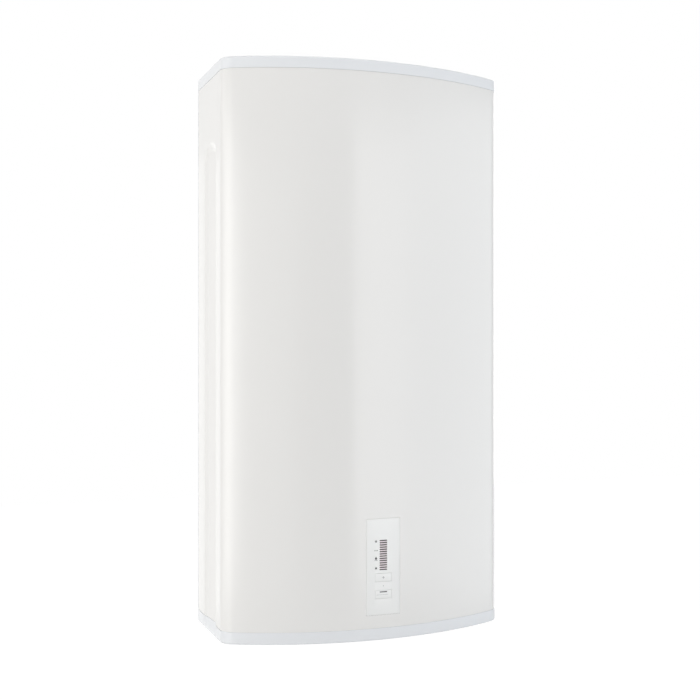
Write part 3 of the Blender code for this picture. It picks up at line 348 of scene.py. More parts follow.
def set_out(name, pattern, places, tilt, material, seed=1, loose=0.0):
    """One piece made of a pattern's copies at these places."""
    shape = bmesh.new()
    for place in places:
        shape.verts.new(place)
    item = object_of(shape, name + "_places")
    tool = object_of(pattern, name + "_pattern")
    run_tree(item, setting, {"Pattern": tool, "Tilt": tilt, "Loose Turn": loose, "Seed": seed,
                             "Finish": material})
    piece = settled(item, name, material)
    bpy.data.objects.remove(tool)
    return piece


towards_wall, downwards = (-pi / 2, 0.0, 0.0), (pi, 0.0, 0.0)
weld_end, weld_off, weld_y = 0.018, 0.009, bracket_steel - wall_gap + fit_gap
weld_places = []
for _, _, level, length, crown, count in wall_strips:
    for way in (-1, 1):
        for i in range(count):
            x = (i / (count - 1) - 0.5) * (length - 2 * weld_end)
            weld_places.append((x, weld_y, level + way * (crown / 2 + weld_off)))
weld = turned([(0.0, -0.0003), (0.0016, -0.0003), (0.0020, 0.00002), (0.0025, 0.00016), (0.0030, 0.00012),
               (0.0033, -0.0002), (0.0, -0.0004)], sides=20)
tree, place, lines_across, result = effect("turned_lines", "Lines", 900.0)
axis = wire(tree, "ShaderNodeSeparateXYZ", {0: place}).outputs["Z"]
lines = wire(tree, "ShaderNodeTexNoise", {"W": calc(tree, "MULTIPLY", axis, lines_across), "Detail": 3.0},
             noise_dimensions="1D").outputs[0]
blend(tree, noise(tree, place, 160.0, 4.0), 0.5, lines, result["Tone"])
tree.links.new(lines, result["Height"])
bare_steel = surface("bare_steel", "turned_lines", 1400.0, (0.42, 0.42, 0.42), (0.62, 0.62, 0.61),
                     (0.22, 0.40), 0.00002, Metallic=1.0)
fit(set_out("spot_welds", weld, weld_places, towards_wall, bare_steel), "steel")


# Sealed pieces: what the casing hides, as the frame has it. Two enamelled tanks with their flanges, elements,
# anodes and pockets, the foam cast round them, and the electrics under them.

tree, place, fineness, result = effect("uneven_grain", "Grain", 300.0)
grain = noise(tree, place, fineness, 3.0)
blend(tree, grain, 0.3, noise(tree, place, 7.0, 2.0), result["Tone"])
tree.links.new(grain, result["Height"])

tree, place, fineness, result = effect("foam_cells", "Cells", 500.0)
tree.links.new(noise(tree, place, 14.0, 4.0), result["Tone"])
tree.links.new(cells(tree, place, fineness), result["Height"])

enamel = surface("tank_enamel", "uneven_grain", 420.0, (0.16, 0.20, 0.27), (0.24, 0.29, 0.37), (0.25, 0.42),
                 0.00005)
dress(enamel, "tank_left", "tank_right")
cast_foam = surface("cast_foam", "foam_cells", 420.0, (0.74, 0.65, 0.38), (0.84, 0.77, 0.52), (0.8, 0.95),
                    0.0004)
bead_foam = surface("bead_foam", "foam_cells", 260.0, (0.86, 0.86, 0.85), (0.93, 0.93, 0.92), (0.7, 0.9),
                    0.0003)
dress(bead_foam, "top_pad")
plated = surface("plated_steel", "turned_lines", 600.0, (0.50, 0.50, 0.49), (0.66, 0.66, 0.64), (0.28, 0.45),
                 0.00003, Metallic=0.9)
dress(plated, "flange_plate_left", "flange_plate_right", "upper_link_pipe", "lower_link_pipe",
      "sensor_pocket_left", "sensor_pocket_right", "anode_nut_left", "anode_nut_right")
sheath = surface("element_sheath", "turned_lines", 300.0, (0.40, 0.38, 0.36), (0.56, 0.55, 0.54),
                 (0.30, 0.50), 0.00003, Metallic=0.95)
dress(sheath, "heating_element_left", "heating_element_right")
anode_metal = surface("anode_metal", "uneven_grain", 250.0, (0.50, 0.50, 0.49), (0.64, 0.64, 0.62),
                      (0.5, 0.7), 0.0001, Metallic=0.7)
dress(anode_metal, "anode_left", "anode_right")
rubber = surface("moulded_rubber", "uneven_grain", 900.0, (0.030, 0.030, 0.032), (0.050, 0.050, 0.052),
                 (0.65, 0.85), 0.00004)
dress(rubber, "gasket_left", "gasket_right")
dark_plastic = surface("dark_moulding", "uneven_grain", 1200.0, (0.05, 0.05, 0.055), (0.09, 0.09, 0.095),
                       (0.42, 0.60), 0.00002)
dress(dark_plastic, "thermostat_left", "thermostat_right", "power_box", "power_box_lid", "plus_switch",
      "minus_switch", "plus_plunger", "minus_plunger")
relay_case = surface("relay_case", "uneven_grain", 900.0, (0.05, 0.07, 0.20), (0.08, 0.11, 0.28), (0.3, 0.42),
                     0.00001)
dress(relay_case, "relay_left", "relay_right")
board_mask = surface("board_mask", "uneven_grain", 500.0, (0.02, 0.20, 0.09), (0.04, 0.30, 0.14),
                     (0.25, 0.40), 0.00002)
dress(board_mask, "power_board", "display_board")
pale_plastic = surface("pale_moulding", "uneven_grain", 1500.0, (0.70, 0.70, 0.68), (0.77, 0.77, 0.75),
                       (0.40, 0.52), 0.00002)
dress(pale_plastic, "control_housing", "inlet_diffuser", "terminal_block", "gland_lock_nut")


# Casing: one steel sheet, coated with white powder, folded round the front and both sides and turned in at
# the rear. A channel is pressed into each side, arched at its top and open at its bottom. The flat blank is
# punched for the control panel, and one node tree folds it, as it folds the two caps and the panel below.

half_width, corner_radius, front_radius = 0.2825, 0.036, 0.5547
front_centre = 0.297 - front_radius
casing_top, casing_bottom = 0.185, -0.910
top_seam, bottom_seam, seam = casing_top - 0.0217, casing_bottom + 0.0225, 0.00015
sheet_corner, flange_run = 0.0012, 0.0138
corner_x = half_width - corner_radius
front_turn = asin(corner_x / (front_radius - corner_radius))
corner_depth = front_centre + (front_radius - corner_radius) * cos(front_turn)
channel_rear, channel_front, channel_depth = 0.060, corner_depth - 0.0347, 0.0085
rear_step, rear_slope, front_slope = 0.20, 0.022, 0.004
arch_top, arch_drop, arch_run = casing_top - 0.1425, 0.016, 0.022

fold, given = node_tree("fold_round_casing", {
    "Blank": "Geometry", "Half Width": half_width, "Corner Radius": corner_radius,
    "Front Radius": front_radius, "Front Centre": front_centre, "Rear Corner": sheet_corner, "Rear Run": 1.0,
    "Channel Rear": channel_rear, "Channel Front": channel_front, "Channel Depth": channel_depth,
    "Rear Step": rear_step, "Rear Slope": rear_slope, "Front Slope": front_slope, "Arch Top": arch_top,
    "Arch Drop": arch_drop, "Run Out": arch_run, "Wall Gap": wall_gap, "Finish": "Material"})
plus, minus, times, times_plus, over, sine, cosine = [
    partial(calc, fold, operation)
    for operation in ("ADD", "SUBTRACT", "MULTIPLY", "MULTIPLY_ADD", "DIVIDE", "SINE", "COSINE")]


def eased(value, start, end):
    """0 to 1, with a soft start and end, as a value goes from start to end."""
    return wire(fold, "ShaderNodeMapRange", {0: value, 1: start, 2: end}, interpolation_type="SMOOTHSTEP")


# A blank's x is its station: 0 to 1 along half the front, to 2 round the corner, to 3 along the side, to 4
# round the rear corner and to 5 along the rear. Its y is how far inside the casing it lies.
position = wire(fold, "GeometryNodeInputPosition")
station, inside, height = wire(fold, "ShaderNodeSeparateXYZ", {0: position}).outputs[:3]
way, travel = calc(fold, "SIGN", station), calc(fold, "ABSOLUTE", station)
run_front, run_corner, run_side, run_rear_corner, run_rear = [
    minus(travel, float(stop), clamp=True) for stop in range(5)]
back, channel = [wire(fold, "GeometryNodeInputNamedAttribute", {"Name": name}, data_type="FLOAT")
                 for name in ("back", "channel")]
middle_radius = minus(given["Front Radius"], given["Corner Radius"])
turn = calc(fold, "ARCSINE", over(minus(given["Half Width"], given["Corner Radius"]), middle_radius))
front_angle = times(turn, run_front)
corner_angle = times_plus(minus(pi / 2, turn), run_corner, turn)
front_arm, corner_arm = minus(given["Front Radius"], inside), minus(given["Corner Radius"], inside)
x, depth = [times_plus(front_arm, rule(front_angle), times(corner_arm, minus(rule(corner_angle), rule(turn))))
            for rule in (sine, cosine)]
depth = plus(depth, given["Front Centre"])
side_start = times_plus(middle_radius, cosine(turn), given["Front Centre"])
rear_edge, front_edge = given["Channel Rear"], given["Channel Front"]
rear_arm = calc(fold, "MAXIMUM", minus(given["Rear Corner"], inside), 0.0003)
side_length = minus(side_start, plus(back, rear_arm))
depth = minus(depth, times(side_length, run_side))
wall_foot = minus(front_edge, given["Front Slope"])
step = eased(depth, rear_edge, plus(rear_edge, given["Rear Slope"]))
ramp = wire(fold, "ShaderNodeMapRange", {0: depth, 1: rear_edge, 2: wall_foot})
deepening = wire(fold, "ShaderNodeMix", {0: given["Rear Step"], 2: ramp, 3: step})
pressed = times(deepening, eased(depth, front_edge, wall_foot))
channel_half = times(minus(front_edge, rear_edge), 0.5)
off_middle = over(minus(depth, plus(rear_edge, channel_half)), channel_half)
arch_edge = minus(given["Arch Top"], times(given["Arch Drop"], times(off_middle, off_middle)))
below_arch = eased(height, arch_edge, minus(arch_edge, given["Run Out"]))
pressed = times(times(pressed, below_arch), times(given["Channel Depth"], channel))
rear_angle = times(run_rear_corner, pi / 2)
depth = minus(depth, times(rear_arm, sine(rear_angle)))
x = minus(x, times(rear_arm, minus(1.0, cosine(rear_angle))))
to_middle = minus(minus(given["Half Width"], inside), rear_arm)
x = minus(x, times(calc(fold, "MINIMUM", given["Rear Run"], to_middle), run_rear))
spot = wire(fold, "ShaderNodeCombineXYZ", {
    0: times(way, minus(x, pressed)), 1: times(plus(depth, given["Wall Gap"]), -1.0), 2: height})
moved = wire(fold, "GeometryNodeSetPosition", {"Geometry": given["Blank"], "Position": spot})
welded = wire(fold, "GeometryNodeMergeByDistance", {"Geometry": moved, "Distance": 1e-5})
end_tree(fold, welded, given["Finish"])


def spread(start, end, steps):
    """Values from just after start up to end."""
    return [start + (end - start) * i / steps for i in range(1, steps + 1)]


def stations(front_cuts=()):
    """Stations of a blank's columns, close together where it is bent or pressed. The one just before 3 keeps
    the side's shading level up to the rear bend."""
    margin, side_run = 0.0005, corner_depth - sheet - fit_gap - sheet_corner
    stops = (corner_depth, channel_front + margin, channel_front - front_slope - margin,
             channel_rear + rear_slope, channel_rear)
    half = spread(0, 1, 44) + spread(1, 2, 16)
    for low, high, steps in zip(stops, stops[1:], (3, 10, 10, 10)):
        half += [2 + (corner_depth - depth) / side_run for depth in spread(low, high, steps)]
    half += [2.993, 3.0] + spread(3, 4, 4) + [5.0]
    return sorted({0.0, *half, *[-stop for stop in half], *front_cuts})


def blank(name, columns, rows, holes=(), closed=False):
    """A flat blank from its columns' stations and its rows as (inside, z, back, channel)."""
    shape = bmesh.new()
    back_layer = shape.verts.layers.float.new("back")
    channel_layer = shape.verts.layers.float.new("channel")
    grid = []
    for inside, z, back, channel in rows:
        grid.append([shape.verts.new((stop, inside, z)) for stop in columns])
        for vert in grid[-1]:
            vert[back_layer], vert[channel_layer] = back, channel
    for j, (low, high) in enumerate(zip(grid, grid[1:])):
        for i in range(len(columns) - 1):
            middle_x, middle_z = (columns[i] + columns[i + 1]) / 2, (rows[j][1] + rows[j + 1][1]) / 2
            if not any(a < middle_x < b and c < middle_z < d for a, b, c, d in holes):
                shape.faces.new((low[i], low[i + 1], high[i + 1], high[i]))
    if closed:
        for loop in (grid[0], grid[-1]):
            shape.faces.new(loop)
    return object_of(shape, name + "_blank")


def front_station(x):
    return asin(x / front_radius) / front_turn


panel_x, panel_z, panel_width, panel_height, panel_proud = 0.0083, -0.77165, 0.0674, 0.1817, 0.0005
panel_low, panel_high = panel_z - panel_height / 2 - fit_gap, panel_z + panel_height / 2 + fit_gap
panel_sides = [front_station(panel_x + side * (panel_width / 2 + fit_gap)) for side in (-1, 1)]
arch_low = arch_top - arch_drop - arch_run
levels = [bottom_seam + seam, *spread(bottom_seam + seam, panel_low, 3), *spread(panel_low, panel_high, 6),
          *spread(panel_high, arch_low, 22), *spread(arch_low, arch_top, 40),
          *spread(arch_top, top_seam - seam, 6)]

tree, place, fineness, result = effect("powder_coat", "Peel", 700.0)
peel = noise(tree, place, fineness, 1.5)
blend(tree, peel, 0.2, noise(tree, place, 2.2, 2.0), result["Tone"])
blend(tree, cells(tree, place, 2400.0), 0.15, peel, result["Height"])
white_powder = surface("white_powder_coat", "powder_coat", 620.0, (0.800, 0.796, 0.784),
                       (0.822, 0.818, 0.806), (0.15, 0.19), 0.000010)

sheet_rows = [(0.0, z, sheet + fit_gap, 1.0) for z in levels]
panel_hole = (*panel_sides, panel_low, panel_high)
sheet_blank = blank("casing_sheet", stations(panel_sides), sheet_rows, [panel_hole])
run_tree(sheet_blank, fold, {"Rear Run": flange_run, "Finish": white_powder})
wall = sheet_blank.modifiers.new("thickness", "SOLIDIFY")
wall.thickness, wall.offset = sheet, -1.0
fit(settled(sheet_blank, "casing_sheet", white_powder), "casing", "front_shell")


# Foam filling: it was poured between the tanks and the casing, so that its outside is a cast of the sheet's
# inside, channels and all. Round the tanks and pipes it is as the frame has it.

inner_sheet, behind_flange = sheet + fit_gap, 2 * (sheet + fit_gap)
foam_low, foam_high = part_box("insulation_foam")
cast_levels = [foam_low[2] - sheet, *spread(foam_low[2], arch_low, 8), *spread(arch_low, arch_top, 40),
               foam_high[2] + sheet]
cast_rows = [(inner_sheet, z, behind_flange, 1.0) for z in cast_levels]
cast = blank("foam_cast", stations(), cast_rows, closed=True)
run_tree(cast, fold, {"Finish": cast_foam})
shape = bmesh.new()
shape.from_mesh(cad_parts["insulation_foam"].data)
bmesh.ops.remove_doubles(shape, verts=shape.verts, dist=1e-6)
filling = object_of(shape, "foam_copy")
joined(filling, "INTERSECT", cast)
fit(settled(filling, "foam_filling", cast_foam), "foam", "insulation_foam")


# Caps: a lid at each end, moulded in cool white plastic. Each stands a millimetre proud of the sheet, has
# a rounded edge, and holds the casing by a tongue inside the sheet. The side channels run out in the bottom
# one.

cap_edge, cap_proud, cap_wall, cap_corner = 0.0025, 0.001, 0.0025, 0.002
tongue_wall, tongue_height, cap_lip = 0.002, 0.008, 0.0003


def quarter(steps):
    """The sines and cosines of a quarter turn in even steps."""
    return [(sin(pi / 2 * i / steps), cos(pi / 2 * i / steps)) for i in range(steps + 1)]


def cap_blank(name, flat, seam_z, up):
    """A cap's blank, from its inner face round its tongue and skirt to its outer face."""
    channel = 1.0 if up < 0 else 0.0
    inner, behind = inner_sheet + tongue_wall, behind_flange + tongue_wall
    tip = seam_z - up * tongue_height
    rows = [(inner, flat - up * cap_wall, behind, channel), (inner, tip, behind, channel),
            (inner_sheet, tip, behind_flange, channel), (inner_sheet, seam_z, behind_flange, channel),
            (cap_lip - cap_proud, seam_z, cap_lip, channel)]
    for i in range(9):
        part = i / 8
        z = seam_z + up * cap_lip + (flat - up * cap_edge - seam_z - up * cap_lip) * part
        rows.append((-cap_proud, z, 0.0, channel * (1 - part * part * (3 - 2 * part))))
    for across, along in quarter(8)[1:]:
        side = cap_edge * (1 - along)
        rows.append((side - cap_proud, flat - up * cap_edge * (1 - across), side, 0.0))
    item = blank(name, stations(), rows, closed=True)
    run_tree(item, fold, {"Rear Corner": cap_corner, "Finish": cap_plastic})
    return item


tree, place, fineness, result = effect("spark_grain", "Grain", 1600.0)
grain = noise(tree, place, fineness, 2.0)
blend(tree, grain, 0.25, noise(tree, place, 5.0, 2.0), result["Tone"])
blend(tree, cells(tree, place, fineness), 0.4, grain, result["Height"])
cap_plastic = surface("cool_white_moulding", "spark_grain", 1500.0, (0.770, 0.790, 0.816),
                      (0.795, 0.815, 0.841), (0.22, 0.28), 0.00001)

lid = cap_blank("top_lid", casing_top, top_seam, 1)
fit(settled(lid, "top_lid", cap_plastic), "cap_plastic", "top_cap")


def oblong(width, height):
    w, h = width / 2, height / 2
    return [(-w, -h), (w, -h), (w, h), (-w, h)]


def slab(x, y, levels, steps=8):
    """An upright slab with round corners, from (z, width, length, corner radius) levels."""
    loops = []
    for z, width, length, radius in levels:
        corners = [(x + px, y + py) for px, py in oblong(width, length)]
        loops.append([(px, py, z) for px, py in rounded(corners, [radius] * 4, steps)])
    return object_of(skinned(loops), "slab")


def cap_hole(x, y, radius):
    ends = (x, y, casing_bottom - past), (x, y, floor_top + past)
    joined(base, "DIFFERENCE", round_tool(radius, *ends, 48))


tank_x, tank_y, pipe_x, pipe_hole, gland_y, gland_hole = 0.140, -0.148, 0.050, 0.0108, -0.087, 0.0083
cover_width, cover_length, cover_corner, bearing, ledge = 0.124, 0.120, 0.012, 0.008, 0.003
floor_top, past = casing_bottom + cap_wall, 0.004
base = cap_blank("bottom_lid", casing_bottom, bottom_seam, -1)
for side in (-1, 1):
    x, ledge_top = side * tank_x, floor_top + ledge
    rim = cover_width + 2 * ledge, cover_length + 2 * ledge, cover_corner + ledge
    full = cover_width + 2 * fit_gap, cover_length + 2 * fit_gap, cover_corner + fit_gap
    clear = cover_width - 2 * bearing, cover_length - 2 * bearing, cover_corner / 2
    for operation, low, high, outline in (
            ("UNION", floor_top - cap_wall / 2, ledge_top, rim),
            ("DIFFERENCE", casing_bottom - past, floor_top - 2 * fit_gap, full),
            ("DIFFERENCE", floor_top - cap_proud, ledge_top + past, clear)):
        joined(base, operation, slab(x, tank_y, [(low, *outline), (high, *outline)]))
    cap_hole(side * pipe_x, tank_y, pipe_hole)
cap_hole(0.0, gland_y, gland_hole)
fit(settled(base, "bottom_lid", cap_plastic), "cap_plastic", "bottom_cap")


# Service covers: two moulded plates in the underside, one under each tank's flange. Each lies flush in its
# opening with a softened edge, and four screws hold it.

cover_soft = 0.0006
for word, side in (("left", -1), ("right", 1)):
    rows = [(casing_bottom + rise, cover_width - 2 * shy, cover_length - 2 * shy, cover_corner - shy)
            for rise, shy in ((0.0, cover_soft), (cover_soft * 0.3, cover_soft * 0.3), (cover_soft, 0.0),
                              (cap_wall - 3 * fit_gap, 0.0))]
    fit(settled(slab(side * tank_x, tank_y, rows), "underside_cover_" + word, cap_plastic), "cap_plastic",
        "service_cover_" + word)


# Fasteners: blind rivets along both return flanges, screws through the rear panel into the caps' tongues,
# and screws in the service covers. Each kind is one head, set out in rows; the screws stop at any turn.

zinc_plate = surface("bright_zinc_plating", "uneven_grain", 1500.0, (0.52, 0.53, 0.54), (0.68, 0.69, 0.70),
                     (0.25, 0.38), 0.00001, Metallic=1.0)
rivet = turned([(0.0, -0.0012), (0.0008, -0.0012), (0.0009, 0.0003), (0.0012, 0.0008), (0.0018, 0.0010),
                (0.0028, 0.0007), (0.0036, 0.0003), (0.0039, 0.00005), (0.0040, -0.0001), (0.0020, -0.0001),
                (0.0020, -0.0022), (0.0, -0.0022)])
rivet_inset, rivet_margin = 0.0075, 0.015
rivet_low, rivet_high = bottom_seam + seam + rivet_margin, top_seam - seam - rivet_margin
rivet_places = [(side * (half_width - rivet_inset), -wall_gap, rivet_low + (rivet_high - rivet_low) * i / 4)
                for side in (-1, 1) for i in range(5)]
fit(set_out("rear_rivets", rivet, rivet_places, towards_wall, zinc_plate), "steel")


def box_tool(place, size, turn=0.0):
    """A plain box, turned about the Z axis, as a tool for a cut."""
    shape = bmesh.new()
    bmesh.ops.create_cube(shape, size=1.0, matrix=Matrix.Rotation(turn, 4, "Z") @ Matrix.Translation(place)
                          @ Matrix.Diagonal((*size, 1)))
    return object_of(shape, "box_tool")


def screw_head():
    """A pan head with a cross recess, on the start of its shank."""
    arc = [(0.0030 * across, 0.0004 + 0.0014 * along) for across, along in quarter(8)]
    shank = [(0.0030, 0.0), (0.0015, 0.0), (0.0015, -0.0045), (0.0, -0.0045)]
    head = object_of(turned([*arc, *shank]), "screw_head")
    for turn in (0, pi / 2):
        joined(head, "DIFFERENCE", box_tool((0, 0, 0.0016), (0.0032, 0.0007, 0.0020), turn))
    piece = settled(head, "screw_head", zinc_plate)
    shape = bmesh.new()
    shape.from_mesh(piece.data)
    bpy.data.objects.remove(piece)
    return shape


cap_screw_x, cap_screw_levels, cover_screw_x, cover_screw_y = 0.2465, (0.1588, -0.883), 0.058, 0.044
cap_screw_places = [(side * cap_screw_x, -wall_gap, z) for side in (-1, 0, 1) for z in cap_screw_levels]
cover_screw_places = [(side * tank_x + way * cover_screw_x, tank_y + fore * cover_screw_y, casing_bottom)
                      for side in (-1, 1) for way in (-1, 1) for fore in (-1, 1)]
fit(set_out("cap_screws", screw_head(), cap_screw_places, towards_wall, zinc_plate, 3, tau), "steel")
fit(set_out("cover_screws", screw_head(), cover_screw_places, downwards, zinc_plate, 7, tau), "steel")


# Water pipes: drawn steel with a rolled half-inch thread at the open end. The cold inlet wears a blue plastic
# collar against the underside, and the hot outlet a red one.

pipe_end, pipe_radius, pipe_bore = -0.930, 0.0105, 0.0075
pitch, thread_depth, thread_length, thread_fade, chamfer = 0.001814, 0.0011, 0.017, 0.003, 0.0014


def threaded_pipe(top, sides=48, per_turn=9):
    """A pipe's wall with a thread at its open end, chamfered there."""
    mouth = (0.0012, [pipe_bore] * sides)
    rows = [mouth, (0.0, [pipe_bore + 0.0005] * sides)]
    count = int(thread_length / pitch * per_turn)
    for j in range(count + 1):
        rise = thread_length * j / count
        ring = []
        for i in range(sides):
            groove = 0.5 - 0.5 * cos(tau * (rise / pitch - i / sides))
            cut = thread_depth * min(1.0, (thread_length - rise) / thread_fade) * groove
            ring.append(min(pipe_radius - cut, pipe_radius - chamfer + rise * 0.9))
        rows.append((rise, ring))
    rows += [(top - pipe_end, [pipe_radius] * sides), (top - pipe_end, [pipe_bore] * sides), mouth]
    return skinned([[(r * cos(tau * i / sides), r * sin(tau * i / sides), pipe_end + rise)
                     for i, r in enumerate(ring)] for rise, ring in rows], closed=False)


collar_soft, collar_nick = 0.001, 0.0004
ring_high = casing_bottom - fit_gap
ring_low = ring_high - 0.004
collar_in, collar_out = pipe_radius + fit_gap, pipe_radius + 0.006
collar = [(collar_in, ring_low + collar_nick), (collar_in + collar_nick, ring_low)]
collar += [(collar_out - collar_soft * (1 - across), ring_low + collar_soft * (1 - along))
           for across, along in quarter(5)]
collar += [(collar_out, ring_high), (collar_in, ring_high), (collar_in, ring_low + collar_nick)]
for x, top, pipe_name, pipe_node, ring_name, ring_node, slot, dark, light in (
        (pipe_x, -0.747, "cold_pipe", "inlet_pipe", "blue_collar", "inlet_ring", "blue_ring",
         (0.012, 0.075, 0.36), (0.02, 0.11, 0.46)),
        (-pipe_x, 0.108, "hot_pipe", "outlet_pipe", "red_collar", "outlet_ring", "red_ring",
         (0.44, 0.016, 0.012), (0.55, 0.03, 0.02))):
    tint = surface(ring_name + "_plastic", "spark_grain", 1400.0, dark, light, (0.34, 0.44), 0.00001)
    for shape, name, node, finish, material in (
            (threaded_pipe(top), pipe_name, pipe_node, "steel", bare_steel),
            (turned(collar, 64), ring_name, ring_node, slot, tint)):
        shape.transform(Matrix.Translation((x, tank_y, 0)))
        fit(settled(object_of(shape, name + "_shape"), name, material), finish, node)


# Cable gland: a pale moulded entry for the supply cable, with a hexagon against the underside, a ribbed cap
# screwed onto its neck, and a rubber seal inside. The cable itself is fitted where the heater is hung.

gland_low, gland_end, neck_top = casing_bottom - fit_gap - 0.005, -0.9276, -0.899
cable_radius, neck_foot, flange_flats, nick = 0.0045, gland_end + 0.004, 0.022, 0.0006
neck = object_of(turned([(cable_radius, neck_foot), (0.0070, neck_foot), (0.0070, gland_low + 0.002),
                         (0.0080, gland_low + 0.002), (0.0080, neck_top - 0.0005), (0.0075, neck_top),
                         (cable_radius, neck_top), (cable_radius, neck_foot)], 48), "gland_neck")
width = flange_flats / sqrt(3)
flats = [[((width - shy) * cos(tau * i / 6), (width - shy) * sin(tau * i / 6), z) for i in range(6)]
         for z, shy in ((casing_bottom - fit_gap, 0.0), (gland_low + nick, 0.0), (gland_low, nick))]
gland = object_of(skinned(flats), "gland_flange")
joined(gland, "DIFFERENCE", round_tool(0.0060, (0, 0, gland_low - 0.001), (0, 0, casing_bottom + 0.001), 48))
joined(gland, "UNION", neck)

cap_high, cap_step = gland_low - fit_gap, -0.9240
ribs, given = node_tree("ribs_round_axis", {
    "Body": "Geometry", "Count": "Int", "Radius": 0.0101, "Low": gland_end + 0.0026,
    "Height": cap_high - gland_end - 0.0036, "Width": 0.0007, "Finish": "Material"})
circle = wire(ribs, "GeometryNodeMeshCircle", {"Vertices": given["Count"], "Radius": given["Radius"]})
middle = calc(ribs, "MULTIPLY_ADD", given["Height"], 0.5, given["Low"])
lift = wire(ribs, "ShaderNodeCombineXYZ", {"Z": middle})
raised = wire(ribs, "GeometryNodeSetPosition", {"Geometry": circle, "Offset": lift})
rod = wire(ribs, "GeometryNodeMeshCylinder",
           {"Vertices": 8, "Radius": given["Width"], "Depth": given["Height"]})
copies = wire(ribs, "GeometryNodeInstanceOnPoints", {"Points": raised, "Instance": rod})
together = wire(ribs, "GeometryNodeJoinGeometry")
for part in (copies.outputs[0], given["Body"]):
    ribs.links.new(part, together.inputs[0])
end_tree(ribs, together, given["Finish"])


def fit_gland(item, name, material, slot, *nodes):
    """Settles a part of the gland that was made round the Z axis, in its place."""
    piece = settled(item, name, material)
    piece.data.transform(Matrix.Translation((0, gland_y, 0)))
    fit(piece, slot, *nodes)


fit_gland(gland, "gland_entry", pale_plastic, "gland_plastic", "cable_gland")
dome = [(0.0083 + 0.002 * across, gland_end + 0.002 * (1 - along)) for across, along in quarter(6)]
cap_section = [(cable_radius, cap_step), (cable_radius, gland_end + 0.0004), (0.0049, gland_end), *dome,
               (0.0103, cap_high), (0.0073, cap_high), (0.0073, cap_step), (cable_radius, cap_step)]
gland_cap = object_of(turned(cap_section, 48), "gland_cap_shape")
run_tree(gland_cap, ribs, {"Count": 20, "Finish": pale_plastic})
fit_gland(gland_cap, "gland_ribbed_cap", pale_plastic, "gland_plastic", "gland_cap")
seal = turned([(0.0031, -0.9262), (0.0038, -0.9268), (0.00445, -0.9262), (0.00445, -0.9150),
               (0.0031, -0.9150), (0.0031, -0.9262)], 40)
fit_gland(object_of(seal, "gland_seal_shape"), "gland_seal", rubber, "rubber")


# Control panel: a pale moulded plate that stands half a millimetre proud in the front. It has windows for a
# ladder of light bars and for two keys. All of it is made flat and folded to the front's curve by the tree
# that folds the casing.

panel_plastic = surface("panel_moulding", "spark_grain", 1800.0, (0.872, 0.88, 0.874), (0.895, 0.903, 0.897),
                        (0.30, 0.38), 0.000006)
bar_count, bar_width, bar_height, bar_pitch = 14, 0.0146, 0.0014, 0.00423
bar_top = panel_z + panel_height / 2 - 0.04135
bar_end = bar_top - bar_pitch * (bar_count - 1)
key_width, key_height = 0.0324, 0.0156
plus_z = bar_end - 0.00725 - key_height / 2
minus_z = plus_z - key_height - 0.0163


def cushion(width, height, soft, low, high, corner=0.0004, steps=3):
    """A flat moulding in x and z with softened front edges, from low to high inside the casing."""
    rows = [(soft * (1 - across), low + soft * (1 - along)) for across, along in quarter(steps)]
    rows.append((0.0, high))
    outlines = [rounded(oblong(width - 2 * shy, height - 2 * shy), [corner] * 4, 3) for shy, _ in rows]
    return skinned([[(px, inside, pz) for px, pz in outline] for outline, (_, inside) in zip(outlines, rows)])


def bent(item, name, material, x, z, slices=0.002):
    """Slices a flat moulding, folds it to the front at x and z, and settles it."""
    mesh = evaluated(item)
    mesh.transform(Matrix.Translation((x, 0, z)))
    shape = bmesh.new()
    shape.from_mesh(mesh)
    low, high = min(v.co.x for v in shape.verts), max(v.co.x for v in shape.verts)
    for i in range(1, int((high - low) / slices) + 1):
        bmesh.ops.bisect_plane(shape, geom=shape.verts[:] + shape.edges[:] + shape.faces[:],
                               plane_co=(low + slices * i, 0, 0), plane_no=(1, 0, 0))
    for vert in shape.verts:
        vert.co.x = front_station(vert.co.x)
    shape.to_mesh(item.data)
    shape.free()
    run_tree(item, fold, {"Finish": material})
    return settled(item, name, material)


plate_back = 0.0025
panel = object_of(cushion(panel_width, panel_height, 0.0005, -panel_proud, plate_back, 0.0010), "panel_flat")
windows = [(bar_top - bar_pitch * i, bar_width, bar_height) for i in range(bar_count)]
windows += [(z, key_width, key_height) for z in (plus_z, minus_z)]
for z, width, height in windows:
    size = width + 2 * fit_gap, 0.02, height + 2 * fit_gap
    joined(panel, "DIFFERENCE", box_tool((0, 0, z - panel_z), size))
lug_root, lug_reach, lug_height, lug_thick, lug_z = 0.003, 0.0018, 0.012, 0.002, 0.055
for side in (-1, 1):
    for off_z in (-lug_z, lug_z):
        lug = cushion(lug_root + fit_gap + lug_reach, lug_height, 0.0002, inner_sheet,
                      inner_sheet + lug_thick)
        x = side * (panel_width + fit_gap + lug_reach - lug_root) / 2
        lug.transform(Matrix.Translation((x, 0, off_z)))
        joined(panel, "UNION", object_of(lug, "lug"))
fit(bent(panel, "panel_plate", panel_plastic, panel_x, panel_z), "panel_plastic", "control_plate")


# Light bars: fourteen level lights, moulded in a dark red tinted plastic in one piece with the strip that
# joins them behind the plate. Each bar stands in a window of its own.

ladder, given = node_tree("ladder_of_bars", {"Bar": "Geometry", "Count": "Int", "Pitch": "Float",
                                             "Finish": "Material"})
step = wire(ladder, "ShaderNodeCombineXYZ", {"Z": calc(ladder, "MULTIPLY", given["Pitch"], -1.0)})
row = wire(ladder, "GeometryNodeMeshLine", {"Count": given["Count"], "Offset": step})
copies = wire(ladder, "GeometryNodeInstanceOnPoints", {"Points": row, "Instance": given["Bar"]})
end_tree(ladder, copies, given["Finish"])

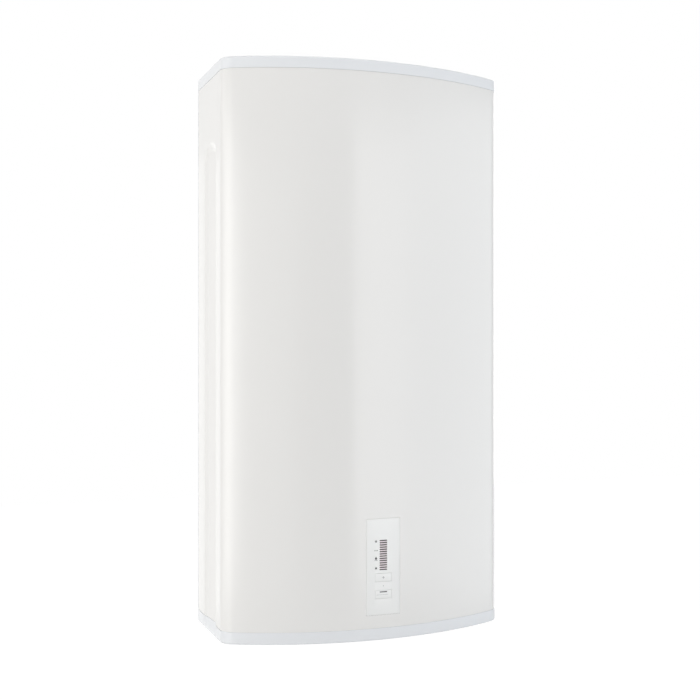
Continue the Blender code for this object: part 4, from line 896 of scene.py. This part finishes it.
behind_plate, strip_rim, strip_thick = plate_back + fit_gap, 0.0012, 0.0016
bar_tint = surface("dark_red_tint", "spark_grain", 900.0, (0.016, 0.004, 0.006), (0.030, 0.008, 0.012),
                   (0.16, 0.24), 0.000004, Specular_IOR_Level=0.25)
bar = object_of(cushion(bar_width, bar_height, 0.0002, -panel_proud, 0.0030, 0.0002), "bar_flat")
run_tree(bar, ladder, {"Count": bar_count, "Pitch": bar_pitch, "Finish": bar_tint})
strip = cushion(bar_width + 2 * strip_rim, bar_top - bar_end + bar_height + 2 * strip_rim, 0.0002,
                behind_plate, behind_plate + strip_thick)
strip.transform(Matrix.Translation((0, 0, (bar_end - bar_top) / 2)))
joined(bar, "UNION", object_of(strip, "bar_strip"))
fit(bent(bar, "light_bars", bar_tint, panel_x, bar_top), "light_guide", "light_guide")


# Keys: two moulded keys, plus and minus, that press in by less than a millimetre. Each has its own rim behind
# the plate, and its sign is printed on its face.

key_plastic = surface("key_moulding", "spark_grain", 1800.0, (0.866, 0.874, 0.868), (0.889, 0.897, 0.891),
                      (0.32, 0.40), 0.000006)
key_rim, key_stem, rim_back = 0.0012, 0.005, behind_plate + 0.001
for word, z in (("plus", plus_z), ("minus", minus_z)):
    face = cushion(key_width, key_height, 0.0004, -panel_proud, behind_plate + 0.0005)
    key = object_of(face, word + "_flat")
    for width, height, low, high in (
            (key_width + 2 * key_rim, key_height + 2 * key_rim, behind_plate, rim_back),
            (key_stem, key_stem, rim_back - fit_gap, rim_back + 0.0025)):
        joined(key, "UNION", object_of(cushion(width, height, 0.0001, low, high), word + "_key_part"))
    fit(bent(key, word + "_key_cap", key_plastic, panel_x, z), "key_plastic", word + "_key",
        body=word + "_key_press")


# Printed marks: thin ink on the plate and the keys. Four small pictures stand beside the ladder, from hot
# to cold, and each key has its sign.

ink_proud, ink_root = 0.00004, 0.0001
grey_ink, dark_ink, faint_ink, rose_ink = [
    surface(name, "uneven_grain", 2500.0, dark, light, (0.5, 0.6), 0.000002) for name, dark, light in (
        ("grey_ink", (0.20, 0.20, 0.20), (0.26, 0.26, 0.26)),
        ("dark_ink", (0.045, 0.045, 0.048), (0.07, 0.07, 0.074)),
        ("faint_ink", (0.40, 0.40, 0.41), (0.46, 0.46, 0.47)),
        ("rose_ink", (0.79, 0.715, 0.735), (0.82, 0.745, 0.765)))]


def star(points, outer, inner):
    """A star's outline; with two points it is a diamond."""
    turns = [(pi * i / points, outer if i % 2 == 0 else inner) for i in range(2 * points)]
    return [(radius * sin(turn), radius * cos(turn)) for turn, radius in turns]


def marks(name, ink, *outlines, body="heater"):
    """Thin marks in one ink, from closed (x, z) outlines and their places, lying on the plate's face."""
    shape = bmesh.new()
    for outline, x, z in outlines:
        mark = skinned([[(x + px, inside, z + pz) for px, pz in outline]
                        for inside in (-panel_proud - ink_proud, -panel_proud + ink_root)])
        mesh = bpy.data.meshes.new("mark")
        mark.to_mesh(mesh)
        mark.free()
        shape.from_mesh(mesh)
        bpy.data.meshes.remove(mesh)
    fit(bent(object_of(shape, name + "_flat"), name, ink, 0, 0, 0.004), "panel_plastic", body=body)


icon_x = -0.0066
drop = [(0.0022 * sin(a) * (1 - 0.35 * max(cos(a), 0)),
         -0.0006 + (0.0038 if cos(a) > 0.9 else 0.0023) * cos(a)) for a in [tau * i / 24 for i in range(24)]]
arrow = [(-0.0036, 0.0), (-0.0018, -0.0014), (-0.0018, -0.0003), (0.0018, -0.0003), (0.0018, -0.0014)]
arrow += [(-px, -pz) for px, pz in arrow]
arm, t = 0.0024, 0.0005
cross = [(-t, -arm), (t, -arm), (t, -t), (arm, -t), (arm, t), (t, t)]
cross += [(-px, -pz) for px, pz in cross]
between = oblong(bar_width, bar_pitch - bar_height - 2 * fit_gap - ink_root)
marks("hot_mark", grey_ink, (star(8, 0.0028, 0.0017), icon_x, panel_z + 0.0482))
marks("range_mark", grey_ink, (arrow, icon_x, panel_z + 0.0310))
marks("warm_mark", dark_ink, (drop, icon_x, panel_z + 0.0166),
      (oblong(0.0062, 0.0006), icon_x, panel_z + 0.0123))
marks("cold_mark", dark_ink, (star(6, 0.0031, 0.0014), icon_x, panel_z - 0.0024))
marks("between_mark", faint_ink, (star(2, 0.0012, 0.0009), panel_x, (plus_z + minus_z) / 2))
marks("plus_sign", faint_ink, (cross, panel_x, plus_z), body="plus_key_press")
marks("minus_sign", dark_ink, (oblong(0.0146, 0.0020), panel_x, panel_z - 0.0477), body="minus_key_press")
marks("minus_underline", faint_ink, (oblong(0.0230, 0.0005), panel_x - 0.002, panel_z - 0.0530),
      body="minus_key_press")
marks("rose_tint", rose_ink,
      *[(between, panel_x, bar_top - bar_pitch * (i + 0.5)) for i in range(bar_count - 1)])


# Room: a pale floor well below the heater, which hangs as it does on its wall, and a white surround. Wide
# soft lights, two of them without a reflection, and the surround light it, and the camera stands at the
# photograph's viewpoint.

floor_drop, floor_half = 0.85, 9.0
floor_white, floor_share, surround_light = 1.19, 0.82, 0.155
shape = bmesh.new()
bmesh.ops.create_grid(shape, x_segments=1, y_segments=1, size=floor_half,
                      matrix=Matrix.Translation((0, 0, casing_bottom - floor_drop)))
floor = object_of(shape, "pale_floor")
floor_paint = surface("pale_floor_paint", "uneven_grain", 60.0, (0.66, 0.66, 0.66), (0.70, 0.70, 0.70),
                      (0.8, 0.9), 0.0002)
floor.data.materials.append(floor_paint)


def seen_directly(tree):
    """1 for camera, glossy and transmission rays, and 0 for the light that falls on things."""
    path = wire(tree, "ShaderNodeLightPath").outputs
    seen = calc(tree, "MAXIMUM", path["Is Camera Ray"], path["Is Glossy Ray"])
    return calc(tree, "MAXIMUM", seen, path["Is Transmission Ray"])


tree = floor_paint.node_tree
white = wire(tree, "ShaderNodeEmission", {"Color": (1, 1, 1, 1), "Strength": floor_white})
share = calc(tree, "MULTIPLY", seen_directly(tree), floor_share)
mixed = wire(tree, "ShaderNodeMixShader", {0: share, 1: tree.nodes["Principled BSDF"], 2: white})
tree.links.new(mixed.outputs[0], tree.nodes["Material Output"].inputs["Surface"])

world = bpy.data.worlds.new("white_surround")
bpy.context.scene.world = world
world.use_nodes = True
tree = world.node_tree
light = tree.nodes["Background"]
light.inputs["Color"].default_value = (1.0, 1.0, 1.0, 1.0)
strength = wire(tree, "ShaderNodeMapRange", {0: seen_directly(tree), 3: surround_light, 4: 1.0}).outputs[0]
tree.links.new(strength, light.inputs["Strength"])


def soft_light(name, place, aim, width, height, power, colour=(1.0, 1.0, 1.0), spread_angle=180, glossy=True):
    lamp = bpy.data.lights.new(name, "AREA")
    lamp.shape, lamp.size, lamp.size_y, lamp.energy, lamp.color = "RECTANGLE", width, height, power, colour
    lamp.spread = radians(spread_angle)
    item = placed(name, lamp)
    item.location = place
    item.visible_camera, item.visible_glossy = False, glossy
    item.rotation_euler = (Vector(aim) - Vector(place)).to_track_quat("-Z", "Y").to_euler()


soft_light("left_panel", (-4.43, -1.64, -0.43), (-0.26, -0.24, -0.43), 5.2, 2.65, 57.5, (1.0, 0.985, 0.96),
           spread_angle=110)
soft_light("front_left_panel", (-2.55, -3.5, -0.60), (-0.2, -0.27, -0.60), 2.9, 2.4, 11.2)
soft_light("left_fill", (-2.2, -0.5, 1.1), (-0.28, -0.15, 0.0), 1.2, 0.8, 4.5, glossy=False)
soft_light("rear_fill", (-1.5, 2.6, -0.2), (-0.1, 0.0, -0.36), 1.6, 1.6, 9.0, glossy=False)
soft_light("front_panel", (1.19, -3.235, -0.40), (0.665, -0.28, -0.40), 1.55, 2.13, 22.0, (0.985, 0.99, 1.0))
soft_light("right_panel", (2.65, -1.66, -0.38), (0.0, -0.25, -0.38), 3.1, 2.2, 37.5, (0.95, 0.975, 1.0))
soft_light("top_panel", (0.0, -0.9, 1.5), (0.0, -0.30, 0.0), 1.6, 0.8, 10.3)
soft_light("rear_left_panel", (-2.91, 0.785, -0.36), (-0.27, -0.15, -0.36), 1.04, 2.2, 10.0)
soft_light("rear_wash", (-0.15, 3.0, -0.53), (-0.15, 0.0, -0.53), 2.2, 2.06, 3.6)
soft_light("rear_panel", (1.9, 2.6, 0.1), (0.0, 0.0, -0.36), 2.0, 2.2, 22.0)
picture_px, focal_px, sensor_mm = 700, 1219.1, 36.0
camera_data = bpy.data.cameras.new("camera")
camera_data.lens, camera_data.sensor_width = sensor_mm * focal_px / picture_px, sensor_mm
camera_data.shift_x = -0.1
camera = placed("camera", camera_data)
camera.location = (-0.7863, -2.4639 - wall_gap, (casing_top + casing_bottom) / 2 + 0.0006)
camera.rotation_euler = (pi / 2, 0.0, -radians(21.86))
bpy.context.scene.camera = camera
bpy.context.scene.view_settings.view_transform = "Standard"
